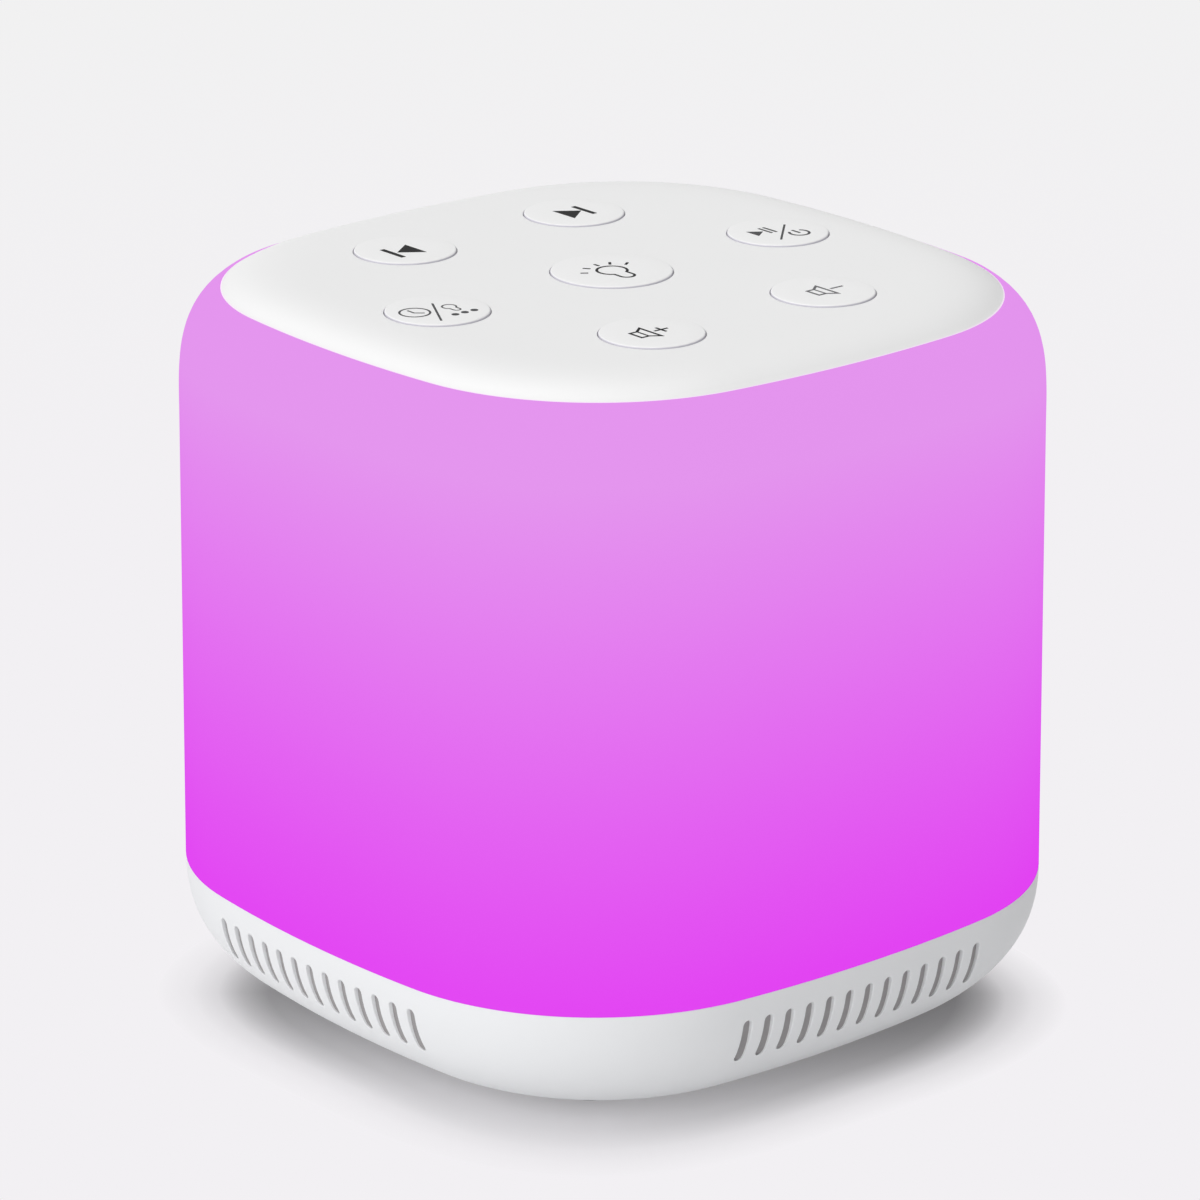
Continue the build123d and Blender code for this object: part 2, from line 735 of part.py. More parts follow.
with BuildPart() as speaker_gasket:
    extrude(discs(speaker_frame_radius, deck_top_z), amount=speaker_gasket_height)
    extrude(discs(speaker_mouth_radius, deck_top_z), amount=speaker_gasket_height, mode=Mode.SUBTRACT)
    extrude(
        discs(small_shank_radius + screw_gap, deck_top_z, speaker_screw_points),
        amount=speaker_gasket_height,
        mode=Mode.SUBTRACT,
    )
write(speaker_gasket.part, "speaker_gasket")

with BuildPart() as speaker_basket:
    with BuildSketch(Plane.XZ):
        with BuildLine():
            Polyline(
                (speaker_mouth_radius, gasket_top_z),
                (speaker_frame_radius, gasket_top_z),
                (speaker_frame_radius, flange_seat_z),
                (speaker_mouth_radius + basket_wall, flange_seat_z),
                (basket_back_radius, basket_top_z),
                (gap_radius, basket_top_z),
                (gap_radius, basket_top_z - basket_wall),
                (basket_back_radius - basket_wall, basket_top_z - basket_wall),
                (speaker_mouth_radius, flange_seat_z),
                close=True,
            )
        make_face()
    revolve(axis=Axis.Z)
    window_z = flange_seat_z + basket_wall
    for turn in (0, 90, 180, 270):
        with BuildSketch(side_plane(turn, basket_back_radius - basket_wall, window_z)):
            with Locations((0, basket_depth / 2 - basket_wall)):
                Rectangle(basket_window_width, basket_depth - 3 * basket_wall)
        extrude(amount=speaker_frame_radius, mode=Mode.SUBTRACT)
    extrude(
        discs(small_shank_radius + screw_gap, gasket_top_z, speaker_screw_points),
        amount=speaker_flange_height,
        mode=Mode.SUBTRACT,
    )
write(speaker_basket.part, "speaker_basket")

with BuildPart() as speaker_top_plate:
    extrude(discs(plate_radius, basket_top_z), amount=top_plate_height)
    extrude(discs(gap_radius, basket_top_z), amount=top_plate_height, mode=Mode.SUBTRACT)
write(speaker_top_plate.part, "speaker_top_plate")

with BuildPart() as speaker_magnet:
    extrude(discs(magnet_radius, plate_top_z), amount=magnet_height)
    extrude(discs(magnet_bore_radius, plate_top_z), amount=magnet_height, mode=Mode.SUBTRACT)
write(speaker_magnet.part, "speaker_magnet")

with BuildPart() as speaker_back_plate:
    extrude(discs(plate_radius, magnet_top_z), amount=back_plate_height)
    extrude(discs(pole_radius, basket_top_z), amount=magnet_top_z - basket_top_z)
write(speaker_back_plate.part, "speaker_back_plate")

with BuildPart() as voice_coil:
    extrude(discs(coil_radius, coil_z), amount=coil_length)
    extrude(discs(coil_inner_radius, coil_z), amount=coil_length, mode=Mode.SUBTRACT)
write(voice_coil.part, "voice_coil")

cone_slope = cone_depth / (cone_radius - coil_radius)
cap_seat_z = cone_neck_z - (cap_seat_radius - coil_radius) * cone_slope

with BuildPart() as speaker_cone:
    with BuildSketch(Plane.XZ):
        with BuildLine():
            Polyline(
                (coil_radius, cone_neck_z),
                (cone_radius, cone_mouth_z),
                (cone_radius, cone_mouth_z + cone_wall),
                (coil_radius, cone_neck_z + cone_wall),
                close=True,
            )
        make_face()
    revolve(axis=Axis.Z)
write(speaker_cone.part, "speaker_cone")

with BuildPart() as dust_cap:
    with BuildSketch(Plane.XZ):
        with BuildLine():
            outer = ThreePointArc(
                (-cap_seat_radius, cap_seat_z), (0, cap_seat_z - cap_bulge), (cap_seat_radius, cap_seat_z)
            )
            Line(outer @ 1, outer @ 0)
        make_face()
        with BuildLine():
            inner_reach = cap_seat_radius - cone_wall
            inner_z = cap_seat_z - cap_bulge + cone_wall
            hollow = ThreePointArc((-inner_reach, cap_seat_z), (0, inner_z), (inner_reach, cap_seat_z))
            Line(hollow @ 1, hollow @ 0)
        make_face(mode=Mode.SUBTRACT)
        with Locations((-cap_seat_radius, cap_seat_z)):
            Rectangle(2 * cap_seat_radius, 4 * cap_bulge, mode=Mode.SUBTRACT)
    revolve(axis=Axis.Z)
write(dust_cap.part, "dust_cap")

with BuildPart() as speaker_surround:
    roll_inner = cone_radius + glue_gap
    roll_radius = (speaker_mouth_radius - roll_inner) / 2
    with BuildSketch(Plane.XZ):
        with Locations((roll_inner + roll_radius, cone_mouth_z)):
            Circle(roll_radius)
            Circle(roll_radius - surround_wall, mode=Mode.SUBTRACT)
            Rectangle(2 * roll_radius, roll_radius, align=(Align.CENTER, Align.MIN), mode=Mode.SUBTRACT)
        for lip_x in (roll_inner, speaker_mouth_radius - surround_wall):
            with Locations((lip_x, cone_mouth_z)):
                Rectangle(surround_wall, cone_wall, align=(Align.MIN, Align.MIN))
    revolve(axis=Axis.Z)
write(speaker_surround.part, "speaker_surround")

# The spider is a corrugated ring between the coil and the inside of the basket.
basket_inner_run = speaker_mouth_radius - basket_back_radius + basket_wall
basket_inner_rise = basket_depth - basket_wall
spider_top_share = (spider_z + spider_fold + spider_wall - flange_seat_z) / basket_inner_rise
spider_inner_radius = coil_radius + glue_gap
spider_radius = speaker_mouth_radius - basket_inner_run * spider_top_share - seat_gap
spider_step = (spider_radius - spider_inner_radius) / spider_folds
spider_line = [
    (spider_inner_radius + i * spider_step, spider_z + spider_fold * (i % 2))
    for i in range(spider_folds + 1)
]
spider_back = [(x, z + spider_wall) for x, z in reversed(spider_line)]

with BuildPart() as speaker_spider:
    with BuildSketch(Plane.XZ):
        with BuildLine():
            Polyline(*spider_line, *spider_back, close=True)
        make_face()
    revolve(axis=Axis.Z)
write(speaker_spider.part, "speaker_spider")

build_small_screws(
    "speaker_screws",
    speaker_screw_points,
    flange_seat_z,
    flange_seat_z - deck_z + under_boss_height - seat_gap,
)

terminal_y = speaker_frame_radius + terminal_overhang - terminal_depth / 2

with BuildPart() as speaker_terminals:
    extrude(pads(terminal_width, terminal_depth, flange_seat_z, [(0, terminal_y)]), amount=terminal_height)
    fillet(speaker_terminals.edges().group_by(Axis.Z)[-1], radius=fit_gap)
write(speaker_terminals.part, "speaker_terminals")

with BuildPart() as speaker_leads:
    extrude(
        discs(wire_radius, main_board_top_z, speaker_wire_points), amount=flange_seat_z - main_board_top_z
    )
write(speaker_leads.part, "speaker_leads")

with BuildPart() as speaker_chamber:
    extrude(discs(chamber_radius + chamber_wall, deck_top_z), amount=chamber_height)
    fillet(speaker_chamber.edges().group_by(Axis.Z)[-1], radius=chamber_wall)
    extrude(discs(chamber_flange_radius, deck_top_z), amount=chamber_flange_height)
    extrude(discs(chamber_ear_radius, deck_top_z, chamber_screw_points), amount=chamber_flange_height)
    extrude(
        discs(chamber_radius, deck_top_z), amount=chamber_height - chamber_wall, mode=Mode.SUBTRACT
    )
    extrude(
        discs(small_shank_radius + screw_gap, deck_top_z, chamber_screw_points),
        amount=chamber_flange_height,
        mode=Mode.SUBTRACT,
    )
    extrude(
        discs(small_head_radius + fit_gap, deck_top_z + chamber_flange_height, chamber_screw_points),
        amount=chamber_flange_height,
        mode=Mode.SUBTRACT,
    )
write(speaker_chamber.part, "speaker_chamber")

build_small_screws(
    "chamber_screws",
    chamber_screw_points,
    deck_top_z + chamber_flange_height,
    chamber_flange_height + deck_thickness + under_boss_height - seat_gap,
)

# ---------------------------------------------------------------- main board and its parts
tab_rear_y = cavity_half(main_board_z) - seat_gap
tab_depth = tab_rear_y - main_board_y

with BuildPart() as main_board:
    extrude(
        pads(main_board_width, main_board_depth, main_board_z, [(0, main_board_y)]),
        amount=board_thickness,
    )
    extrude(
        pads(main_board_tab_width, tab_depth, main_board_z, [(0, main_board_y + tab_depth / 2)]),
        amount=board_thickness,
    )
    extrude(
        discs(small_shank_radius + screw_gap, main_board_z, main_screw_points),
        amount=board_thickness,
        mode=Mode.SUBTRACT,
    )
write(main_board.part, "main_board")

build_small_screws("main_board_screws", main_screw_points, main_board_top_z, board_thickness + base_wall)

# Chips by their place, from the middle of the board, with their sizes
chip_layout = {(-8.0, -7.0): 7.0, (7.5, -8.5): 5.0, (8.5, 0.5): 5.5, (-8.5, 2.5): 4.0}
with BuildPart() as main_board_chips:
    for (x, y), size in chip_layout.items():
        extrude(pads(size, size, main_board_top_z, [(x, main_board_y + y)]), amount=chip_height)
    fillet(main_board_chips.edges().group_by(Axis.Z)[-1], radius=fit_gap)
write(main_board_chips.part, "main_board_chips")

capacitor_points = [(x, main_board_y + capacitor_y) for x in (-capacitor_x, capacitor_x)]

with BuildPart() as capacitors:
    extrude(discs(capacitor_radius, main_board_top_z, capacitor_points), amount=capacitor_height)
    fillet(capacitors.edges().group_by(Axis.Z)[-1], radius=fit_gap)
write(capacitors.part, "capacitors")

with BuildPart() as main_board_connector:
    extrude(
        pads(connector_width, connector_depth, main_board_top_z, [(0, conduit_y)]),
        amount=connector_height,
    )
write(main_board_connector.part, "main_board_connector")

with BuildPart() as usb_socket:
    with BuildSketch(side_plane(180, usb_back_y, usb_z)):
        RectangleRounded(usb_width, usb_height, usb_height / 2 - usb_wall)
    extrude(amount=usb_length)
    with BuildSketch(side_plane(180, usb_back_y + usb_wall, usb_z)):
        RectangleRounded(
            usb_width - 2 * usb_wall, usb_height - 2 * usb_wall, usb_height / 2 - 2 * usb_wall
        )
    extrude(amount=usb_length, mode=Mode.SUBTRACT)
write(usb_socket.part, "usb_socket")

with BuildPart() as usb_tongue:
    with BuildSketch(side_plane(180, usb_back_y + usb_wall, usb_z)):
        Rectangle(usb_tongue_width, usb_tongue_height)
    extrude(amount=usb_length - usb_wall - usb_tongue_inset)
write(usb_tongue.part, "usb_tongue")

# ---------------------------------------------------------------- battery
battery_z = floor_z + battery_pad_height
lead_z = main_board_z + board_thickness / 2

with BuildPart() as battery_pad:
    pad_width = battery_width - 2 * battery_edge
    pad_length = battery_length - 2 * battery_edge
    extrude(pads(pad_width, pad_length, floor_z, [(0, battery_y)]), amount=battery_pad_height)
write(battery_pad.part, "battery_pad")

with BuildPart() as battery:
    extrude(pads(battery_width, battery_length, battery_z, [(0, battery_y)]), amount=battery_height)
    fillet(battery.edges().filter_by(Axis.Z), radius=battery_edge)
write(battery.part, "battery")

with BuildPart() as battery_leads:
    with BuildSketch(side_plane(180, battery_rear_y, lead_z)):
        with Locations((-wire_pitch / 2, 0), (wire_pitch / 2, 0)):
            Circle(wire_radius)
    extrude(amount=main_board_front_y - battery_rear_y)
write(battery_leads.part, "battery_leads")
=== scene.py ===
"""Look of a white noise sound machine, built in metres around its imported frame.

Every visible housing is a clean mesh worked out from the same outline and profiles as the
solid that it stands for, and every inner piece of the frame gets a procedural finish.
"""

import logging
from dataclasses import asdict, dataclass
from enum import Enum
from math import acos, asin, atan2, cos, degrees, hypot, pi, radians, sin, sqrt
from typing import Callable, Iterable, Sequence

import bmesh
import bpy
from bpy.types import ColorRamp, ID, Material, Modifier, NodeSocket, NodeTree, Object
from mathutils import Matrix, Vector
from mathutils.geometry import delaunay_2d_cdt


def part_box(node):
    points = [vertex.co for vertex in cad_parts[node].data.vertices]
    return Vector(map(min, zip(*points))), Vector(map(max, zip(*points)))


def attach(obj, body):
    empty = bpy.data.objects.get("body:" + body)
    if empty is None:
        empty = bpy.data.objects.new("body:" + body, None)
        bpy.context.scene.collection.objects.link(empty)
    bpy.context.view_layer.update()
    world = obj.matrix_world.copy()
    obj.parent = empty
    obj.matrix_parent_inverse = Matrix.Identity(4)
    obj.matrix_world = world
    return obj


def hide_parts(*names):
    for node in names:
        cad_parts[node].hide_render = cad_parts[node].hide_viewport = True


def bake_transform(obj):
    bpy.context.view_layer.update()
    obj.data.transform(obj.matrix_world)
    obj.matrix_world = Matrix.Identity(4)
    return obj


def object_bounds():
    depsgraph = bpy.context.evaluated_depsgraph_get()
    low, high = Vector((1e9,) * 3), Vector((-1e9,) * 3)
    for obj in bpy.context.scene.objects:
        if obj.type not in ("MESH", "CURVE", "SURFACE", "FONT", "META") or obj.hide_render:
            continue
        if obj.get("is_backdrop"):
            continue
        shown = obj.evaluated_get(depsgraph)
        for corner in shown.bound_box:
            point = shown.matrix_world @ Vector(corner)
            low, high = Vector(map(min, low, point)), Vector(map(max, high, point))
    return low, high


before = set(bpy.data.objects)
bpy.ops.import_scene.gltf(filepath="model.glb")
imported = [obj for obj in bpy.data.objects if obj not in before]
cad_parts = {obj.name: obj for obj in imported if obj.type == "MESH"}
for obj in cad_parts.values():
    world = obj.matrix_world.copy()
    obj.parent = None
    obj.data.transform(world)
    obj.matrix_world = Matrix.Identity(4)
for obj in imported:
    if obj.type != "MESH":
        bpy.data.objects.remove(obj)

CAD_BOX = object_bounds()
MM = 0.001
MERGED = 0.0005 * MM
SHARP = radians(32)
Point = tuple[float, float]
Place = tuple[float, float, float]
Colour = tuple[float, float, float]
Path = Sequence[Point]
Row = Sequence[int]
Rows = list[list[int]]
Stroke = tuple[Path, float, bool]
BLACK = (0.0, 0.0, 0.0)

log = logging.getLogger("sound_machine")


def linear(*display: float) -> Colour:
    """Turn a display colour of 0 to 255 into the linear colour that shaders use."""
    shares = [value / 255 for value in display]
    return tuple(s / 12.92 if s <= 0.04045 else ((s + 0.055) / 1.055) ** 2.4 for s in shares)


def mixed(low: Sequence[float], high: Sequence[float], share: float) -> tuple[float, ...]:
    """Return the values that lie a share of the way from low to high."""
    return tuple(a + (b - a) * share for a, b in zip(low, high))


def spaced(low: float, high: float, steps: int) -> list[float]:
    """Return evenly spaced values from low to high, with steps spans between them."""
    return [low + (high - low) * (i / steps) for i in range(steps + 1)]


# ---- node trees
def maths(operation: str, swapped: bool = False) -> Callable[..., "Shade"]:
    """Return a method that adds one Math node.

    Args:
        operation: The node's operation.
        swapped: Whether the other value comes first.

    Returns:
        The method, on a shade and another value.
    """

    def method(self: "Shade", other: "Value" = 0.0) -> "Shade":
        """Work out the operation on self and other."""
        pair = (other, self) if swapped else (self, other)
        return self.tree.node("ShaderNodeMath", {"operation": operation}, dict(enumerate(pair)))

    return method


class Shade:
    """A node's socket that takes part in Python expressions on numbers."""

    def __init__(self, tree: "Tree", socket: NodeSocket) -> None:
        """Keep the tree and the socket."""
        self.tree = tree
        self.socket = socket

    __add__ = __radd__ = maths("ADD")
    __sub__ = maths("SUBTRACT")
    __rsub__ = maths("SUBTRACT", swapped=True)
    __mul__ = __rmul__ = maths("MULTIPLY")
    __truediv__ = maths("DIVIDE")
    __pow__ = maths("POWER")
    __gt__ = maths("GREATER_THAN")
    __lt__ = maths("LESS_THAN")
    __abs__ = maths("ABSOLUTE")
    floor = maths("FLOOR")
    arcsine = maths("ARCSINE")
    larger = maths("MAXIMUM")
    sine = maths("SINE")
    fraction = maths("FRACT")

    def wave(self, period: float) -> "Shade":
        """Return a sine of self with the given period."""
        return (self * (2 * pi / period)).sine()

    def saw(self, period: float) -> "Shade":
        """Return how far self is through its current period, from 0 to 1."""
        return (self / period).fraction()


Value = Shade | float | Sequence[float]


class Tree:
    """A node tree that expressions add nodes to."""

    def __init__(self, tree: NodeTree) -> None:
        """Keep the node tree and empty it."""
        self.tree = tree
        self.tree.nodes.clear()

    def node(
        self, kind: str, settings: dict | None = None, inputs: dict | None = None,
        output: int | str = 0,
    ) -> Shade:
        """Add one node.

        Args:
            kind: The node's type name.
            settings: Its settings, set first. "stops" are a ramp's places and colours.
            inputs: Values or links by socket name or index.
            output: The socket to return.

        Returns:
            The node's output as a value for further expressions.
        """
        made = self.tree.nodes.new(kind)
        for name, value in (settings or {}).items():
            if name == "stops":
                self._set_stops(made.color_ramp, value)
            else:
                setattr(made, name, value)
        for name, value in (inputs or {}).items():
            if isinstance(value, Shade):
                self.tree.links.new(value.socket, made.inputs[name])
            else:
                made.inputs[name].default_value = value
        return Shade(self, made.outputs[output] if made.outputs else None)

    @staticmethod
    def _set_stops(ramp: ColorRamp, stops: Sequence[tuple[float, Colour]]) -> None:
        """Give a ramp its stops, each a place from 0 to 1 and a colour."""
        for at, _ in stops[2:]:
            ramp.elements.new(at)
        for element, (at, colour) in zip(ramp.elements, stops):
            element.position = at
            element.color = (*colour, 1.0)

    def split(self, vector: Shade) -> list[Shade]:
        """Return X, Y and Z of a vector."""
        outputs = self.node("ShaderNodeSeparateXYZ", inputs={0: vector}).socket.node.outputs
        return [Shade(self, output) for output in outputs]

    def ray(self, kind: str) -> Shade:
        """Return 1 for light rays of a kind, else 0."""
        return self.node("ShaderNodeLightPath", output=f"Is {kind} Ray")

    def either(self, share: Shade, first: Shade, second: Shade) -> Shade:
        """Return a shader a share of the way from first to second."""
        return self.node("ShaderNodeMixShader", inputs={0: share, 1: first, 2: second})

    def coloured(self, kind: str, colour: Value, **inputs: float) -> Shade:
        """Return a plain shader of a kind and a colour."""
        return self.node(f"ShaderNode{kind}", inputs={"Color": self.full(colour), **inputs})

    @staticmethod
    def full(value: Value) -> Value:
        """Give a plain colour its fourth number."""
        return value if isinstance(value, Shade) else (*value, 1.0)


class ShadeTree(Tree):
    """The node tree of one material."""

    def __init__(self, name: str) -> None:
        """Make an empty material of a name."""
        self.material = bpy.data.materials.new(name)
        self.material.use_nodes = True
        super().__init__(self.material.node_tree)

    def axes(self) -> list[Shade]:
        """Return X, Y and Z of the shaded point in the object's own metres."""
        return self.split(self.coordinates())

    def coordinates(self) -> Shade:
        """Return the shaded point in the object's own metres."""
        return self.node("ShaderNodeTexCoord", output="Object")

    def noise(self, size: float, detail: float) -> Shade:
        """Return smooth noise whose features are about size metres wide."""
        inputs = {"Vector": self.coordinates(), "Scale": 1 / size, "Detail": detail}
        return self.node("ShaderNodeTexNoise", inputs=inputs)

    def tint(self, low: Value, high: Value, share: Value, blend: str = "MIX") -> Shade:
        """Return the colour a share of the way from low to high, or to their blend."""
        settings = {"data_type": "RGBA", "blend_type": blend}
        sides = {6: self.full(low), 7: self.full(high), 0: share}
        return self.node("ShaderNodeMix", settings, sides, output=2)

    def ramp(self, share: Shade, stops: Sequence[tuple[float, Colour]]) -> Shade:
        """Return the colour at a share along stops, each a place and a colour."""
        return self.node("ShaderNodeValToRGB", {"stops": stops}, {0: share})

    def ranged(self, value: Shade, limits: Point, start: float = 0.0, stop: float = 1.0) -> Shade:
        """Return start to stop as the value runs from the lower limit to the upper one."""
        low, high = limits
        run = {"Value": value, "From Min": low, "From Max": high, "To Min": start, "To Max": stop}
        return self.node("ShaderNodeMapRange", inputs=run)

    def bump(self, height: Value, depth: float) -> Shade:
        """Return a normal that a height of 0 to 1, worth depth metres, has roughened."""
        inputs = {"Strength": 1.0, "Distance": depth, "Height": height}
        return self.node("ShaderNodeBump", inputs=inputs)

    def surface(self, glows: bool = False, **inputs: Value) -> Material:
        """Finish the material with a Principled shader, its inputs spelled with underscores."""
        named = {key.replace("_", " "): value for key, value in inputs.items()}
        return self.close(self.node("ShaderNodeBsdfPrincipled", inputs=named), glows)

    def close(self, shader: Shade, glows: bool) -> Material:
        """Link a shader to the material's output. What glows isn't sampled as a lamp."""
        self.node("ShaderNodeOutputMaterial", inputs={"Surface": shader})
        if glows:
            self.material.cycles.emission_sampling = "NONE"
        return self.material


# ---- finishes
@dataclass(frozen=True)
class Finish:
    """One surface finish, turned into a material the first time that it is used."""

    name: str
    slot: str

    def paint(self, tree: ShadeTree) -> Material:
        """Build the finish's nodes.

        Args:
            tree: The empty material, which takes the nodes.

        Returns:
            The finished material.
        """
        raise NotImplementedError

    def material(self) -> Material:
        """Return this finish's material, made once."""
        return bpy.data.materials.get(self.name) or self.paint(ShadeTree(self.name))


@dataclass(frozen=True)
class Moulding(Finish):
    """Injection-moulded plastic with a fine spark-eroded grain."""

    colour: Colour
    roughness: float = 0.5
    relief: float = 0.0015 * MM
    mottle: float = 0.012
    grain: float = 0.25 * MM
    clouds: float = 14 * MM
    swing: float = 0.06

    def paint(self, tree: ShadeTree) -> Material:
        """Finish the material with one shader."""
        return tree.surface(**self.inputs(tree))

    def inputs(self, tree: ShadeTree) -> dict[str, Value]:
        """Vary the colour a little over centimetres and roughen it finely."""
        clouds = tree.noise(self.clouds, detail=1.0)
        darker = tuple(c * (1 - self.mottle) for c in self.colour)
        return {
            "Base_Color": tree.tint(darker, self.colour, clouds),
            "Roughness": self.roughness - self.swing / 2 + self.swing * clouds,
            "Normal": tree.bump(tree.noise(self.grain, detail=1.0), self.relief),
            "Specular_IOR_Level": 0.4,
        }


@dataclass(frozen=True)
class Banded(Moulding):
    """Moulding whose rim band takes a painted shade colour and, where a light is given, a painted
    glow.
    """

    # band is the rim's painted shade colour and light is its painted glow, both faded in over the
    # given heights.
    band: Colour = BLACK
    light: Colour | None = None
    fade_z: Point = (0.0, 1.0)
    floor_z: float = 0.0

    def paint(self, tree: ShadeTree) -> Material:
        """Fade the painted rim shade and glow in below a height."""
        # near masks the rim band that takes the painted shade and glow.
        z = tree.axes()[2]
        near = tree.ranged(z, self.fade_z, 1.0, 0.0) * (z > self.floor_z)
        inputs = self.inputs(tree)
        inputs["Base_Color"] = tree.tint(inputs["Base_Color"], self.band, near)
        if self.light:
            inputs["Emission_Color"] = tree.tint(BLACK, self.light, near)
            inputs["Emission_Strength"] = 1.0
        return tree.surface(glows=True, **inputs)


@dataclass(frozen=True)
class Glow(Finish):
    """Frosted plastic that the lamps inside light up, paler towards the top."""

    low: Colour
    high: Colour
    low_z: float
    high_z: float
    steps: int = 6
    spill: float = 0.02
    body: float = 0.02
    room_level: float = 0.9
    clouds: float = 9 * MM
    roughness: float = 0.55
    swing: float = 0.05

    def paint(self, tree: ShadeTree) -> Material:
        """Ramp the light over the height, and keep most of it from tinting its neighbours."""
        share = (tree.axes()[2] - self.low_z) / (self.high_z - self.low_z)
        reflected = self.body * self.room_level
        stops = []
        for at in spaced(0.0, 1.0, self.steps):
            seen = linear(*mixed(self.low, self.high, at))
            stops.append((at, tuple(c - reflected for c in seen)))
        dim = tuple(self.spill * c for c in linear(*self.high))
        return tree.surface(
            glows=True,
            Base_Color=(self.body, self.body, self.body, 1.0),
            Roughness=self.roughness + self.swing * tree.noise(self.clouds, detail=1.0),
            Specular_IOR_Level=0.0,
            Emission_Color=tree.tint(tree.ramp(share, stops), dim, tree.ray("Diffuse")),
            Emission_Strength=1.0,
        )


@dataclass(frozen=True)
class Metal(Finish):
    """Plated or rolled metal with a fine directional finish."""

    colour: Colour
    streak: float = 0.3 * MM
    lay: Point = (0.6, 0.3)
    roughness: float = 0.32
    swing: float = 0.08
    clouds: float = 2.5 * MM
    duller: float = 0.82
    relief: float = 0.002 * MM

    def paint(self, tree: ShadeTree) -> Material:
        """Streak the roughness and cloud the plating a little."""
        x, y, z = tree.axes()
        lines = (x + self.lay[0] * y + self.lay[1] * z).wave(self.streak) * 0.5 + 0.5
        cloud = tree.noise(self.clouds, detail=3.0)
        return tree.surface(
            Base_Color=tree.tint([self.duller * c for c in self.colour], self.colour, cloud),
            Roughness=self.roughness + self.swing * lines + self.swing * cloud,
            Metallic=1.0,
            Normal=tree.bump(lines, self.relief),
        )


@dataclass(frozen=True)
class Mottled(Finish):
    """Surface whose colour, gloss and height follow one noise."""

    colour: Colour
    gain: float
    lift: float
    size: float
    detail: float
    roughness: float
    swing: float = 0.0
    depth: float = 0.0
    extra: tuple[tuple[str, float], ...] = ()

    def paint(self, tree: ShadeTree) -> Material:
        """Mottle the colour and the roughness, and raise the surface by the same spots."""
        spots = tree.noise(self.size, self.detail)
        other = [min(1.0, self.gain * c + self.lift) for c in self.colour]
        inputs: dict[str, Value] = {
            "Base_Color": tree.tint(self.colour, other, spots),
            "Roughness": self.roughness + self.swing * spots if self.swing else self.roughness,
        }
        if self.depth:
            inputs["Normal"] = tree.bump(spots, self.depth)
        return tree.surface(**inputs, **dict(self.extra))


@dataclass(frozen=True)
class Weave(Finish):
    """Plain weave of fine threads, seen from any side."""

    colour: Colour
    gap_colour: Colour
    pitch: float = 0.35 * MM
    fleck: float = 2 * MM
    relief: float = 0.03 * MM

    def paint(self, tree: ShadeTree) -> Material:
        """Cross two sets of threads, with darker gaps between them."""
        x, y, z = tree.axes()
        over = (x - y).wave(self.pitch) * z.wave(self.pitch) * 0.5 + 0.5
        share = over * 0.5 + 0.25 + 0.5 * tree.noise(self.fleck, detail=2.0)
        return tree.surface(
            Base_Color=tree.tint(self.gap_colour, self.colour, share),
            Roughness=0.8,
            Normal=tree.bump(over, self.relief),
        )


@dataclass(frozen=True)
class Board(Finish):
    """Printed circuit board: solder mask over copper tracks, with tinned pads."""

    mask: Colour
    track: Colour
    pad: Colour = linear(205, 205, 205)
    pitches: Point = (2.4 * MM, 4.08 * MM)
    half_widths: Point = (0.16, 0.1)
    sway: float = 3 * MM
    bends: float = 7 * MM
    region: float = 9 * MM
    pad_pitch: float = 3.12 * MM
    pad_radius: float = 0.14
    relief: float = 0.03 * MM
    roughness: float = 0.38
    pad_shine: Point = (0.1, 0.9)

    def paint(self, tree: ShadeTree) -> Material:
        """Lay out tracks along both ways and a dot of tin here and there."""
        x, y, _ = tree.axes()
        wander = tree.noise(self.bends, detail=0.0)
        along, across = (
            abs((axis + self.sway * wander).saw(pitch) - 0.5) < half_width
            for axis, pitch, half_width in zip((x, y), self.pitches, self.half_widths)
        )
        region = tree.noise(self.region, detail=0.0) > 0.5
        tracks = along * region + across * (1 - region)
        spread = {"Vector": tree.coordinates(), "Scale": 1 / self.pad_pitch}
        dots = tree.node("ShaderNodeTexVoronoi", inputs=spread) < self.pad_radius
        return tree.surface(
            Base_Color=tree.tint(tree.tint(self.mask, self.track, tracks), self.pad, dots),
            Roughness=self.roughness - self.pad_shine[0] * dots,
            Metallic=self.pad_shine[1] * dots,
            Normal=tree.bump(tracks + dots, self.relief),
        )


@dataclass(frozen=True)
class Stripes(Finish):
    """Flat cable or sleeve whose colour repeats across one axis."""

    colour: Colour
    line: Colour
    pitch: float
    axis: int = 0
    gloss: float = 0.45
    line_share: float = 0.1
    fleck: float = 2 * MM
    relief: float = 0.05 * MM

    def paint(self, tree: ShadeTree) -> Material:
        """Draw a line between neighbouring conductors."""
        share = abs(tree.axes()[self.axis].saw(self.pitch) - 0.5)
        return tree.surface(
            Base_Color=tree.tint(self.colour, self.line, share < self.line_share),
            Roughness=self.gloss + 0.1 * tree.noise(self.fleck, detail=2.0),
            Normal=tree.bump(share, self.relief),
        )


def rubber(name: str, slot: str, colour: Colour, pore: float, depth: float) -> Mottled:
    """Return matt rubber, wire insulation or foam with pores of a width and a depth."""
    return Mottled(
        name, slot, colour, gain=1.5, lift=0.02, size=pore, detail=3.0, roughness=0.75,
        swing=0.15, depth=depth,
    )


def pulp(name: str, slot: str, grey: Colour) -> Mottled:
    """Return pressed pulp or sintered powder of a grey."""
    return Mottled(
        name, slot, grey, gain=1.8, lift=0.01, size=0.6 * MM, detail=6.0, roughness=0.9,
        depth=0.05 * MM,
    )


def ink(name: str, colour: Colour) -> Mottled:
    """Return pad-printed ink, thin and slightly uneven."""
    return Mottled(
        name, "key_white", colour, gain=1.0, lift=0.012, size=0.5 * MM, detail=3.0,
        roughness=0.6, swing=0.15, extra=(("Specular_IOR_Level", 0.1),),
    )


